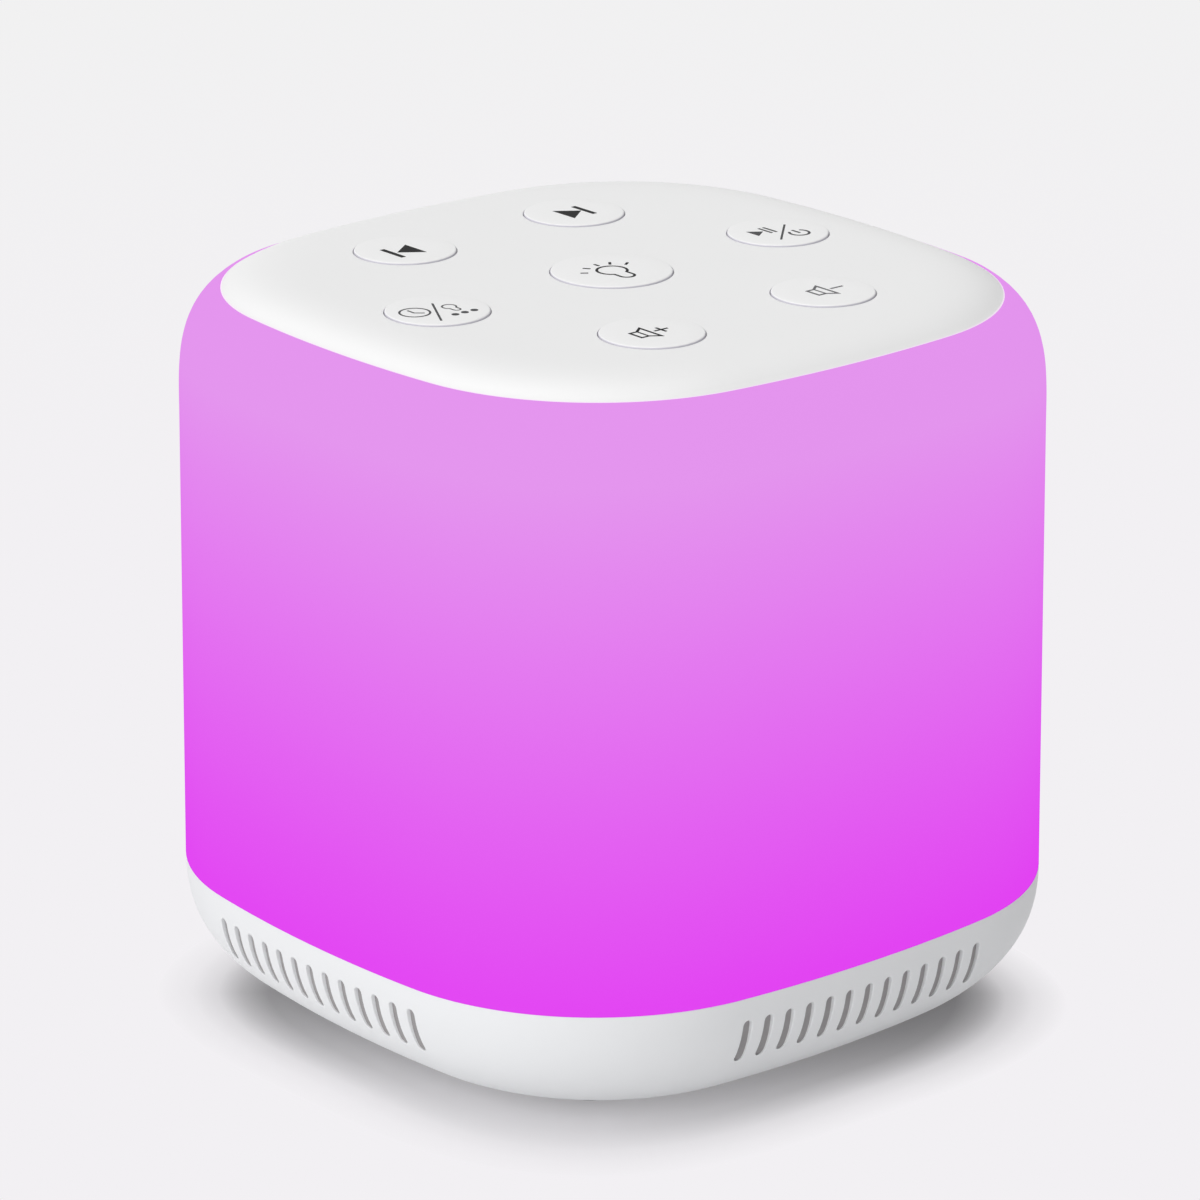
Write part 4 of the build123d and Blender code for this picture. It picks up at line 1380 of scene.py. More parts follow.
    def build(self) -> None:
        """Build the shell, its pillars and its openings, and dress it."""
        form, shell = self.form, Shell()
        reach = self.slot_height / 2 + self.slot_margin
        low_z, high_z = self.slot_z - reach, self.slot_z + reach
        band = spaced(low_z, high_z, self.band_rows)
        upper = spaced(high_z, form.joint_z - form.edge_break, self.upper_steps)[1:]
        skins = []
        for half_at, bottom, steps in zip(
            (form.base_half, form.cavity_half), (form.underside_z, self.floor_z), self.skirt_steps
        ):
            lower = [z for _, z in evenly(lambda z: (half_at(z), z), bottom, low_z, steps)[:-1]]
            rows = [self.ring(shell, half_at(z), z) for z in [*lower, *band, *upper]]
            skins.append((rows, len(lower)))
        self.fill_skins(shell, skins)
        (outer, _), (inner, _) = skins
        self.close_rim(shell, outer[-1], inner[-1])
        self.close_floor(shell, outer[0], inner[0])
        piece = shell.build("base_housing")
        combined(piece, self.floor_fittings(), "UNION")
        combined(piece, self.pilot_holes(), "DIFFERENCE")
        place(piece, "housing", HOUSING, "base_shell")

    def fill_skins(self, shell: Shell, skins: Sequence[tuple[list, int]]) -> None:
        """Join the rows of both skins, with the openings in their band.

        Args:
            shell: Takes the faces.
            skins: Rows of the outer and the inner skin, each with its band's first row.
        """
        bands = []
        for rows, start in skins:
            stop = start + self.band_rows
            shell.skin(rows[: start + 1])
            shell.skin(rows[stop:])
            bands.append(rows[start : stop + 1])
        side_columns = len(self.stations) + self.corner_steps - 1
        port_reach = self.port_slots // 2
        for side in range(4):
            first = side * side_columns
            for slot in range(self.slot_count):
                place_on_side = slot - self.slot_count // 2
                port = side == 2 and abs(place_on_side) <= port_reach
                if port and place_on_side != -port_reach:
                    continue
                left = first + slot * self.cell_columns
                right = left + self.cell_columns * (self.port_slots if port else 1)
                outer, inner = (self.cell_loop(band, left, right) for band in bands)
                x = self.slot_pitch * place_on_side + self.slot_shift[side]
                rows = self.port_rows(shell) if port else self.slot_rows(shell, side, x)
                shell.skin([outer, *rows, inner])
            corner = first + len(self.stations) - 1
            for band in bands:
                columns = [(corner + i) % len(band[0]) for i in range(self.corner_steps + 1)]
                shell.skin([[row[i] for i in columns] for row in band], closed=False)

    def close_rim(self, shell: Shell, outer: list[int], inner: list[int]) -> None:
        """Close the wall at its upper rim, with its edges just broken."""
        form = self.form
        halves = (form.half - form.edge_break, form.cavity_half(form.joint_z) + form.edge_break)
        shell.skin([outer, *(self.ring(shell, half, form.joint_z) for half in halves), inner])

    def close_floor(self, shell: Shell, outer: list[int], inner: list[int]) -> None:
        """Close underside and floor, with the bored pillars between them.

        Args:
            shell: Takes the points and faces.
            outer: The outer skin's lowest row.
            inner: The inner skin's lowest row.
        """
        (shank, shank_top), (head, head_top) = self.shank_bore, self.head_bore
        pocket, pocket_top = self.foot_pocket
        pillar = self.pillar_radius
        bored = [(pillar, self.floor_z), (pillar, shank_top), (shank, shank_top)]
        bored += [(shank, head_top), (head, head_top), (head, pocket_top), (pocket, pocket_top)]
        bored += [(pocket, self.form.underside_z)]
        pillars = [shell.lathe(bored, point) for point in square(self.foot_place)]
        shell.fill(outer, [rows[-1] for rows in pillars])
        shell.fill(inner, [rows[0] for rows in pillars])

    def floor_fittings(self) -> Shell:
        """Return the board's standoffs and the battery's cradle, sunk a little into the floor."""
        shell, sunk = Shell(), self.floor_z - self.form.fit
        radius, top = self.standoff
        shell.posts(self.standoff_points, radius, sunk, top, self.post_steps)
        x, wall, height = self.cradle
        for middle in (-x, x):
            shell.prism(bar(middle, *self.cradle_run, wall), sunk, self.floor_z + height)
        return shell

    def pilot_holes(self) -> Shell:
        """Return the standoffs' screw holes."""
        shell = Shell()
        shell.posts(self.standoff_points, *self.pilot, self.standoff[1] + MM, self.pilot_steps)
        return shell

    @property
    def standoff_points(self) -> list[Point]:
        """Places of the main board's standoffs."""
        x, front, rear = self.standoff_places
        return [(side * x, y) for side in (-1, 1) for y in (front, rear)]


@dataclass
class SlotCloth:
    """Acoustic cloth that shows in the base's slots, a little behind the skin."""

    base: Base
    depth: float = 0.45 * MM
    tilt: float = 0.14 * MM
    thickness: float = 0.5 * MM
    clearance: float = 0.01 * MM
    tip_share: float = 0.02
    rows: int = 14
    columns: int = 4

    def layer(self, shell: Shell, sink: float) -> Rows:
        """Add the rows of points of one face of a slot's cloth, sunk below the skin.

        Args:
            shell: Takes the points and faces.
            sink: How far the face lies behind the skin.

        Returns:
            The numbers of the points in each row.
        """
        base, form = self.base, self.base.form
        radius = base.slot_radius - self.clearance
        rise = base.slot_height / 2 - base.slot_radius
        arc_centre = form.outline.side_centre * form.half
        rows = []
        for i in range(self.rows + 1):
            up = -cos(pi * i / self.rows) * (rise + radius)
            over = max(0.0, abs(up) - rise)
            half_width = sqrt(max(0.0, radius**2 - over**2)) or self.tip_share * radius
            half, z = form.base_half(base.slot_z + up), base.slot_z + up
            behind = arc_centre + sink + self.tilt * up / rise
            across = spaced(-half_width, half_width, self.columns)
            rows.append(shell.add((x, behind - form.outline.edge(x, half), z) for x in across))
        shell.skin(rows, closed=False)
        return rows

    def pad(self) -> Object:
        """Build one slot's cloth in front of the origin, which is the side arc's centre."""
        shell, rims = Shell(), []
        for sink in (self.depth, self.depth + self.thickness):
            first, *rows, last = self.layer(shell, sink)
            rim = [*first, *(row[-1] for row in rows), *reversed(last)]
            rims.append([*rim, *(row[0] for row in reversed(rows))])
        shell.bridge(*rims)
        return shell.build("slot_cloth")

    def build(self) -> None:
        """Repeat the pad in every slot, turned about the side arcs' centres."""
        base, form = self.base, self.base.form
        tree = GrowTree("slot cloth")
        shifts = {f"shift_of_side_{i}": shift for i, shift in enumerate(base.slot_shift)}
        count, pitch, bow, centre, port_half, *shifts = tree.sizes(
            slots_on_a_side=base.slot_count,
            pitch=base.slot_pitch,
            bow_radius=form.outline.bow * form.half,
            arc_centre=-form.outline.side_centre * form.half,
            half_of_slots_left_out=base.port_slots / 2,
            **shifts,
        )
        line = tree.geometry("MeshLine", {"mode": "OFFSET"}, Count=count * 4, Offset=(0, 0, 0))
        index = tree.geometry("InputIndex") * 1.0
        side = ((index + 0.5) / count).floor()
        place_on_side = index - side * count - (count - 1) * 0.5
        on_side = [abs(side - float(i)) < 0.5 for i in range(4)]
        shift = sum((shifts[i] * on_side[i] for i in (1, 2, 3)), shifts[0] * on_side[0])
        turn = ((place_on_side * pitch + shift) / bow).arcsine()
        quarter, full = side * (pi / 2), 2 * pi
        where = tree.vector(
            quarter.wave(full) * centre * -1.0, (quarter + pi / 2).wave(full) * centre, 0.0
        )
        moved = tree.geometry("SetPosition", Geometry=line, Position=where)
        made = tree.instances(moved, tree.given, tree.vector(0.0, 0.0, quarter + turn))
        gap = on_side[2] * (abs(place_on_side) < port_half)
        kept = tree.geometry(
            "DeleteGeometry", {"domain": "INSTANCE"}, Geometry=made, Selection=gap
        )
        piece = self.pad()
        tree.grow(piece, kept, CLOTH)
        place(piece, "housing", CLOTH)


@dataclass
class Feet:
    """Four round rubber feet with a grooved tread, in pockets under the base."""

    base: Base
    top_z: float = 2.8 * MM
    radius: float = 5.0 * MM
    tread_radius: float = 3.8 * MM
    waist_z: float = 1.7 * MM
    grooves: tuple[float, ...] = (1.1 * MM, 2.1 * MM, 3.1 * MM)
    groove_half: float = 0.2 * MM
    groove_depth: float = 0.22 * MM
    round_steps: int = 7
    sides: int = 48

    def foot(self) -> Object:
        """Build one foot about the upright axis."""
        profile = [(0.0, 0.0)]
        for groove in self.grooves:
            for share, deep in ((-1, 0), (-0.5, 1), (0.5, 1), (1, 0)):
                profile.append((groove + share * self.groove_half, deep * self.groove_depth))
        run = self.radius - self.tread_radius
        for turn in spaced(0.0, pi / 2, self.round_steps):
            profile.append((self.tread_radius + run * sin(turn), self.waist_z * (1 - cos(turn))))
        profile += [(self.radius, self.top_z), (0.0, self.top_z)]
        shell = Shell()
        shell.lathe(profile, steps=self.sides)
        return shell.build("tread_feet")

    def build(self) -> None:
        """Repeat the foot on a grid."""
        tree = GrowTree("feet")
        spacing, count = tree.sizes(spacing=2 * self.base.foot_place, feet_on_a_side=2)
        grid = {"Size_X": spacing, "Size_Y": spacing, "Vertices_X": count, "Vertices_Y": count}
        upright = tree.vector(0.0, 0.0, 0.0)
        made = tree.instances(tree.geometry("MeshGrid", **grid), tree.given, upright)
        piece = self.foot()
        tree.grow(piece, made, FOOT)
        place(piece, "housing", FOOT, "feet")


@dataclass(frozen=True)
class ScrewSize:
    """Sizes of one kind of screw."""

    head_radius: float
    head_height: float
    shank_radius: float
    thread_pitch: float
    recess_reach: float
    recess_width: float
    recess_depth: float


CASE_SCREW = ScrewSize(2.3 * MM, 1.6 * MM, 1.25 * MM, 1.1 * MM, 1.15 * MM, 0.55 * MM, 0.8 * MM)
BOARD_SCREW = ScrewSize(1.7 * MM, 1.2 * MM, 1.0 * MM, 0.8 * MM, 0.88 * MM, 0.4 * MM, 0.6 * MM)


@dataclass
class Screws:
    """The screws of one node, with round heads, cross recesses and turned threads."""

    node: str
    size: ScrewSize = BOARD_SCREW
    head_up: bool = True
    sides: int = 20
    head_rows: int = 12
    rows_per_turn: int = 4
    thread_depth: float = 0.14 * MM
    roundness: Point = (0.55, 0.7)
    end_share: float = 0.001
    same_height: float = 0.01 * MM
    same_shank: float = 2.2

    def places(self, tip_z: float) -> list[Point]:
        """Find the axis of each screw, from the ends of their shanks at a height.

        Args:
            tip_z: Height of the ends.

        Returns:
            X and Y of each axis.
        """
        groups: list[list[Vector]] = []
        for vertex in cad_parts[self.node].data.vertices:
            if abs(vertex.co.z - tip_z) > self.same_height:
                continue
            for group in groups:
                if (vertex.co - group[0]).length < self.same_shank * self.size.shank_radius:
                    group.append(vertex.co)
                    break
            else:
                groups.append([vertex.co])
        return [
            tuple((min(p[i] for p in group) + max(p[i] for p in group)) / 2 for i in (0, 1))
            for group in groups
        ]

    def screw(self, tree: GrowTree, length: float) -> tuple[Shade, Shade]:
        """Build one screw whose seat is at the origin.

        Args:
            tree: Takes the nodes.
            length: Length of the shank.

        Returns:
            The screw, and its turn from head up.
        """
        rows = round(length / self.size.thread_pitch * self.rows_per_turn)
        (
            sides, head_rows, rows, shank_length, depth, flip,
            head_radius, head_height, shank_radius, pitch, reach, width, recess,
        ) = tree.sizes(
            sides=self.sides, head_rows=self.head_rows, shank_rows=rows, shank_length=length,
            thread_depth=self.thread_depth, flip=0.0 if self.head_up else pi, **asdict(self.size),
        )

        def head(across: Shade, along: Shade) -> tuple[Shade, Shade]:
            """Round the head above and leave it flat below."""
            out = (along * pi).wave(2 * pi) ** self.roundness[0]
            up = (along * pi + pi / 2).wave(2 * pi)
            return head_radius * out, head_height * (up * (up > 0)) ** self.roundness[1]

        def shank(across: Shade, along: Shade) -> tuple[Shade, Shade]:
            """Run a ridge round the shank and close both ends."""
            ridge = abs((along * shank_length / pitch + across).saw(1.0) * 2 - 1)
            inner = (along > self.end_share) * (along < 1 - self.end_share)
            return (shank_radius - depth * ridge) * inner, along * shank_length * -1.0

        top = tree.vector(0.0, 0.0, head_height)
        cap = tree.turned_grid(sides, head_rows, head)
        cap = tree.cut(cap, tree.vector(reach * 2, width, recess * 2), top)
        cap = tree.cut(cap, tree.vector(width, reach * 2, recess * 2), top)
        join = tree.tree.nodes.new("GeometryNodeJoinGeometry")
        for part in (cap, tree.turned_grid(sides, rows, shank)):
            tree.tree.links.new(part.socket, join.inputs[0])
        return Shade(tree, join.outputs[0]), flip

    def build(self) -> None:
        """Put a detailed screw at each place."""
        low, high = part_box(self.node)
        length = high[2] - low[2] - self.size.head_height
        tip_z, seat_z = (low[2], low[2] + length) if self.head_up else (high[2], high[2] - length)
        mesh = bpy.data.meshes.new(f"threaded_{self.node}")
        mesh.from_pydata([(x, y, seat_z) for x, y in self.places(tip_z)], [], [])
        piece = linked(mesh.name, mesh)
        tree = GrowTree(self.node)
        screw, flip = self.screw(tree, length)
        tree.grow(piece, tree.instances(tree.given, screw, tree.vector(flip, 0.0, 0.0)), STEEL)
        place(piece, "housing", STEEL, self.node)


# ---- diffuser
@dataclass
class Diffuser:
    """The glowing body between base and key panel."""

    form: Form
    skirt_z: float = 18.05 * MM
    skirt_wall: float = 1.4 * MM
    ring_height: float = 1.7 * MM
    wall_rows: int = 12
    shoulder_rows: int = 18
    lip_rows: int = 6
    tab_pocket: Place = (4.2 * MM, 0.7 * MM, 1.0 * MM)
    tab_z: float = 19.0 * MM

    @property
    def skirt_half(self) -> float:
        """Half width of the skirt that slips into the base."""
        return self.form.cavity_half(self.skirt_z) - self.form.fit

    def profile(self) -> list[Point]:
        """Return half width and height around the whole wall, from the skirt up and back."""
        form, skirt = self.form, self.skirt_half
        edge, wall, seat = form.edge_break, form.half - form.lean, form.panel_seat
        points = [(skirt, self.skirt_z), (skirt, form.joint_z), (form.half - edge, form.joint_z)]
        low, high = (form.half, form.joint_z + edge), (wall, form.shoulder_z)
        points += [mixed(low, high, i / self.wall_rows) for i in range(self.wall_rows)]
        points += evenly(self.shoulder_skin, 0.0, 1.0, self.shoulder_rows)
        drop = points[-1][1] - form.rim_z
        for turn in spaced(0.0, pi / 2, self.lip_rows)[1:]:
            half = form.seam_half + form.lip * (1 - sin(turn))
            points.append((half, form.rim_z + drop * cos(turn)))
        points.append((seat, form.rim_z))
        points += evenly(
            lambda turn: form.shoulder(turn, form.inner_height, form.wall),
            form.inner_turn(seat), 0.0, self.wall_rows,
        )
        share = self.ring_height / (form.shoulder_z - form.joint_z)
        inside = skirt - self.skirt_wall
        points.append((wall + form.lean * (1 - share) - form.wall, form.joint_z + self.ring_height))
        return [*points, (inside, form.joint_z + self.ring_height), (inside, self.skirt_z)]

    def shoulder_skin(self, share: float) -> Point:
        """Return half width and height a share of the way up the shoulder's skin."""
        form = self.form
        run = (form.half - form.lean - form.seam_half - form.lip) / form.shoulder_depth
        stop = acos((1 - run) ** (form.lip_power / 2))
        return form.shoulder(stop * share, form.shoulder_height, power=form.lip_power)

    def build(self) -> None:
        """Build the wall and its pockets for the deck's snap tabs, and dress it."""
        shell = Shell()
        rows = [shell.level(self.form.ring(half), z) for half, z in self.profile()]
        shell.skin([*rows, rows[0]])
        piece = shell.build("glow_diffuser")
        pockets = Shell()
        half_width, half_height, depth = self.tab_pocket
        inside = self.skirt_half - self.skirt_wall
        out = (inside - MM, inside + depth - self.form.fit)
        pockets.side_blocks(half_width, out, (self.tab_z - half_height, self.tab_z + half_height))
        combined(piece, pockets, "DIFFERENCE")
        place(piece, "housing", GLOW, "diffuser")


# ---- key panel and keys
class KeyName(Enum):
    """The keys and the turn at which each stands on the ring; the light key is in the middle."""

    PLAY_POWER = 0
    NEXT = 60
    PREVIOUS = 120
    TIMER = 180
    VOLUME_UP = 240
    VOLUME_DOWN = 300
    LIGHT = -1

    @property
    def label(self) -> str:
        """The key's name as the frame spells it."""
        return self.name.lower()


@dataclass
class KeyPanel:
    """The soft-edged panel that carries the keys."""

    form: Form
    key_ring: float = 28.2 * MM
    key_radius: float = 6.6 * MM
    light_radius: float = 7.8 * MM
    cap_gap: float = 0.13 * MM
    hole_edge: float = 0.05 * MM
    skirt_wall: float = 1.5 * MM
    skirt_depth: float = 6.0 * MM
    boss: Place = (29.0 * MM, 3.0 * MM, 8.25 * MM)
    boss_pilot: Point = (1.05 * MM, 4.25 * MM)
    hook: Place = (5.0 * MM, 0.8 * MM, 1.2 * MM)
    guide_margin: float = 0.6 * MM
    flat_half: float = 33.6 * MM
    edge_turn: float = radians(60)
    edge_steps: int = 4
    hole_steps: int = 64
    boss_steps: int = 24
    rim_rows: int = 14

    def place_of(self, key: KeyName) -> Point:
        """Return where a key stands."""
        ring = 0.0 if key is KeyName.LIGHT else self.key_ring
        return polar((0.0, 0.0), ring, radians(key.value))

    def radius_of(self, key: KeyName) -> float:
        """Return the radius of a key's cap."""
        return self.light_radius if key is KeyName.LIGHT else self.key_radius

    def hole_ring(self, key: KeyName, margin: float) -> list[Point]:
        """Return the points around a key's hole, widened by a margin."""
        radius = self.radius_of(key) + self.cap_gap + margin
        return circle(self.place_of(key), radius, self.hole_steps)

    @property
    def skirt_half(self) -> float:
        """Half width of the skirt that slips into the diffuser."""
        return self.form.panel_seat - self.form.fit

    def build(self) -> None:
        """Build the panel with its skirt, bosses and hooks, and dress it."""
        form, shell = self.form, Shell()
        start = form.seam_half - form.panel_edge
        dome = evenly(lambda half: (half, form.dipped(half)), start, self.flat_half, self.rim_rows)
        halves = [half for half, _ in dome]
        rim = self.on_top(shell, form.ring(halves[0]))
        clear = [point for half in halves[1:] for point in form.ring(half) if self.is_clear(point)]
        guides = self.on_top(shell, clear)
        under_half = form.seam_half - form.edge_break
        rows = [rim, *self.edge_rows(shell), shell.level(form.ring(under_half), form.rim_z)]
        shell.skin(rows)
        holes, under_holes = [], []
        for key in KeyName:
            guides += self.on_top(shell, self.hole_ring(key, self.guide_margin))
            hole = self.hole_rows(shell, key)
            holes.append(hole[0])
            under_holes.append(hole[-1])
        shell.fill(rim, holes, guides)
        low = form.seam_z - self.skirt_depth
        outer, inner = self.skirt_half, self.skirt_half - self.skirt_wall
        profile = ((outer, form.rim_z), (outer, low), (inner, low), (inner, form.rim_z))
        skirt = [shell.level(form.ring(half), z) for half, z in profile]
        shell.skin(skirt)
        shell.fill(rows[-1], [skirt[0]])
        shell.fill(skirt[-1], under_holes + self.bosses(shell))
        piece = shell.build("key_panel")
        combined(piece, self.hooks(), "UNION")
        place(piece, "housing", COVER, "top_cover")

    def is_clear(self, point: Point) -> bool:
        """Tell whether a point lies well away from every key hole."""
        margin = self.cap_gap + 2 * self.guide_margin
        return all(
            hypot(point[0] - x, point[1] - y) >= self.radius_of(key) + margin
            for key in KeyName
            for x, y in [self.place_of(key)]
        )

    def edge_rows(self, shell: Shell) -> Rows:
        """Add the rows of the panel's rounded edge, from its skin down.

        Args:
            shell: Takes the points.

        Returns:
            The numbers of the points in each row.
        """
        form, full, rows = self.form, self.edge_turn, []
        high = form.dipped(form.seam_half - form.panel_edge)
        low = form.rim_z + form.edge_break
        for turn in reversed(spaced(0.0, full, self.edge_steps)[:-1]):
            half = form.seam_half - form.panel_edge * (1 - cos(turn)) / (1 - cos(full))
            z = low + (high - low) * sin(turn) / sin(full)
            rows.append(shell.level(form.ring(half), z))
        return rows

    def on_top(self, shell: Shell, ring: Path, sink: float = 0.0) -> list[int]:
        """Add a ring of points on the panel's skin, or sunk below it."""
        form = self.form
        heights = [form.dipped(form.outline.half_through(x, y)) - sink for x, y in ring]
        return shell.add((x, y, z) for (x, y), z in zip(ring, heights))

    def hole_rows(self, shell: Shell, key: KeyName) -> Rows:
        """Round a hole's upper edge over and line it down to the underside.

        Args:
            shell: Takes the points and faces.
            key: The key whose hole it is.

        Returns:
            The rings of points, from the skin to the underside.
        """
        rows = [
            self.on_top(shell, self.hole_ring(key, margin), sink)
            for margin, sink in rounding(self.hole_edge)
        ]
        rows.append(shell.level(self.hole_ring(key, 0.0), self.form.rim_z))
        shell.skin(rows)
        return rows

    def bosses(self, shell: Shell) -> Rows:
        """Add the bosses for the key board's screws and return their rings on the underside."""
        reach, radius, depth = self.boss
        pilot, length = self.boss_pilot
        low = self.form.seam_z - depth
        profile = [(radius, self.form.rim_z), (radius, low), (pilot, low), (pilot, low + length)]
        profile.append((0, low + length))
        return [shell.lathe(profile, point, self.boss_steps)[0] for point in square(reach)]

    def hooks(self) -> Shell:
        """Return the hooks that snap under the diffuser's ledge."""
        form, shell = self.form, Shell()
        half_width, reach, height = self.hook
        turn = form.inner_turn(self.skirt_half + reach)
        top = form.shoulder(turn, form.inner_height)[1] - form.fit
        out = (self.skirt_half - form.fit, self.skirt_half + reach)
        shell.side_blocks(half_width, out, (top - height, top))
        return shell


@dataclass
class KeyCap:
    """One key: a flat cap with a soft rim, its retaining flange and its stem."""

    panel: KeyPanel
    proud: float = 0.25 * MM
    ink_thickness: float = 0.02 * MM
    rim: float = 0.22 * MM
    rim_step: int = 15
    inner_share: float = 0.6
    flange: Place = (1.3 * MM, 0.85 * MM, 0.05 * MM)
    stem: Point = (2.2 * MM, 3.0 * MM)
    steps: int = 96

    @property
    def face_z(self) -> float:
        """Height of the cap's face, which carries the ink."""
        return self.panel.form.top_z + self.proud - self.ink_thickness

    def build(self, key: KeyName) -> None:
        """Build one key and dress it.

        Args:
            key: The key that the cap belongs to.
        """
        radius = self.panel.radius_of(key)
        reach, drop, gap = self.flange
        top, bottom = self.panel.form.rim_z - gap, self.panel.form.seam_z - drop
        stem_radius, stem_length = self.stem
        profile = [(0, bottom - stem_length), (stem_radius, bottom - stem_length)]
        profile += [(stem_radius, bottom), (radius + reach, bottom), (radius + reach, top)]
        profile.append((radius, top))
        for rise, run in rounding(self.rim, self.rim_step):
            profile.append((radius - run, self.face_z - rise))
        profile += [(radius * self.inner_share, self.face_z), (0, self.face_z)]
        shell = Shell()
        shell.lathe(profile, self.panel.place_of(key), self.steps)
        piece = shell.build(f"cap_{key.label}")
        place(piece, f"{key.label}_key", KEY, f"key_{key.label}")


# ---- printed symbols
class Print:
    """Thin film of ink: strokes and filled shapes on one key's face, drawn in millimetres."""

    mitre: float = 0.35

    def __init__(self, cap: KeyCap, key: KeyName) -> None:
        """Keep where the symbol stands on the cap of a key."""
        self.centre = cap.panel.place_of(key)
        self.heights = (cap.face_z - cap.ink_thickness, cap.face_z + cap.ink_thickness)
        self.shell = Shell()

    def place(self, points: Path) -> list[Point]:
        """Return where points of the drawing lie on the machine."""
        return [(self.centre[0] + x * MM, self.centre[1] + y * MM) for x, y in points]

    def fill(self, outline: Path) -> None:
        """Print a filled shape."""
        self.shell.prism(self.place(outline), *self.heights)

    def stroke(self, path: Path, width: float, closed: bool) -> None:
        """Print a line of even width with mitred corners.

        Args:
            path: The points that it passes through.
            width: Its width.
            closed: Whether it returns to its first point.
        """
        left_low, left_high, right_low, right_high = (
            self.shell.level(self.place(self.offset(path, shift, closed)), z)
            for shift in (width / 2, -width / 2)
            for z in self.heights
        )
        rows = [left_low, left_high, right_high, right_low]
        self.shell.skin([*rows, left_low], closed)
        if not closed:
            self.shell.faces += [tuple(row[i] for row in rows) for i in (0, -1)]

    def offset(self, path: Path, shift: float, closed: bool) -> list[Point]:
        """Return a path moved sideways, with its corners mitred.

        Args:
            path: The points of the path.
            shift: How far it moves to its left.
            closed: Whether the path returns to its first point.

        Returns:
            The moved points.
        """
        moved = []
        count = len(path)
        for i, (x, y) in enumerate(path):
            before = path[i - 1] if i or closed else None
            after = path[(i + 1) % count] if i + 1 < count or closed else None
            ways = []
            for start, end in ((before, (x, y)), ((x, y), after)):
                if start is not None and end is not None:
                    run = Vector((end[0] - start[0], end[1] - start[1])).normalized()
                    ways.append(Vector((-run.y, run.x)))
            way = (ways[0] + ways[-1]).normalized()
            reach = shift / max(self.mitre, way.dot(ways[0]))
            moved.append((x + way.x * reach, y + way.y * reach))
        return moved


def bulb(centre: Point, radius: float, neck: float, base: float) -> list[Point]:
    """Return the outline of a lamp bulb.

    Args:
        centre: Centre of the globe.
        radius: Radius of the globe.
        neck: Half width of the neck.
        base: How far below the globe's centre the neck's round end has its centre.

    Returns:
        The closed outline.
    """
    x, y = centre
    flare, rise = 12, 0.25
    open_turn = degrees(asin(neck / radius)) + flare
    globe = arc(centre, radius, -90 + open_turn, 270 - open_turn, 36)
    foot = arc((x, y - base), neck, 180, 360, 14)
    shoulder = y - radius * cos(radians(open_turn)) - rise * neck
    return [*globe, (x - neck, shoulder), *foot, (x + neck, shoulder)]


def speaker(x: float, line: float, bar_width: float) -> tuple[list[Path], list[Stroke]]:
    """Return a speaker's filled bar and its outline.

    Args:
        x: Place of its right edge.
        line: Width of the outline.
        bar_width: Width of the bar.

    Returns:
        Filled shapes and strokes.
    """
    back, front = x - 2.4, x - 1.25
    cone = [(back, -1.1), (front, -1.1), (x, -2.0), (x, 2.2), (front, 1.2), (back, 1.2)]
    return [bar(front, -1.0, 1.1, bar_width)], [(cone, line, True)]


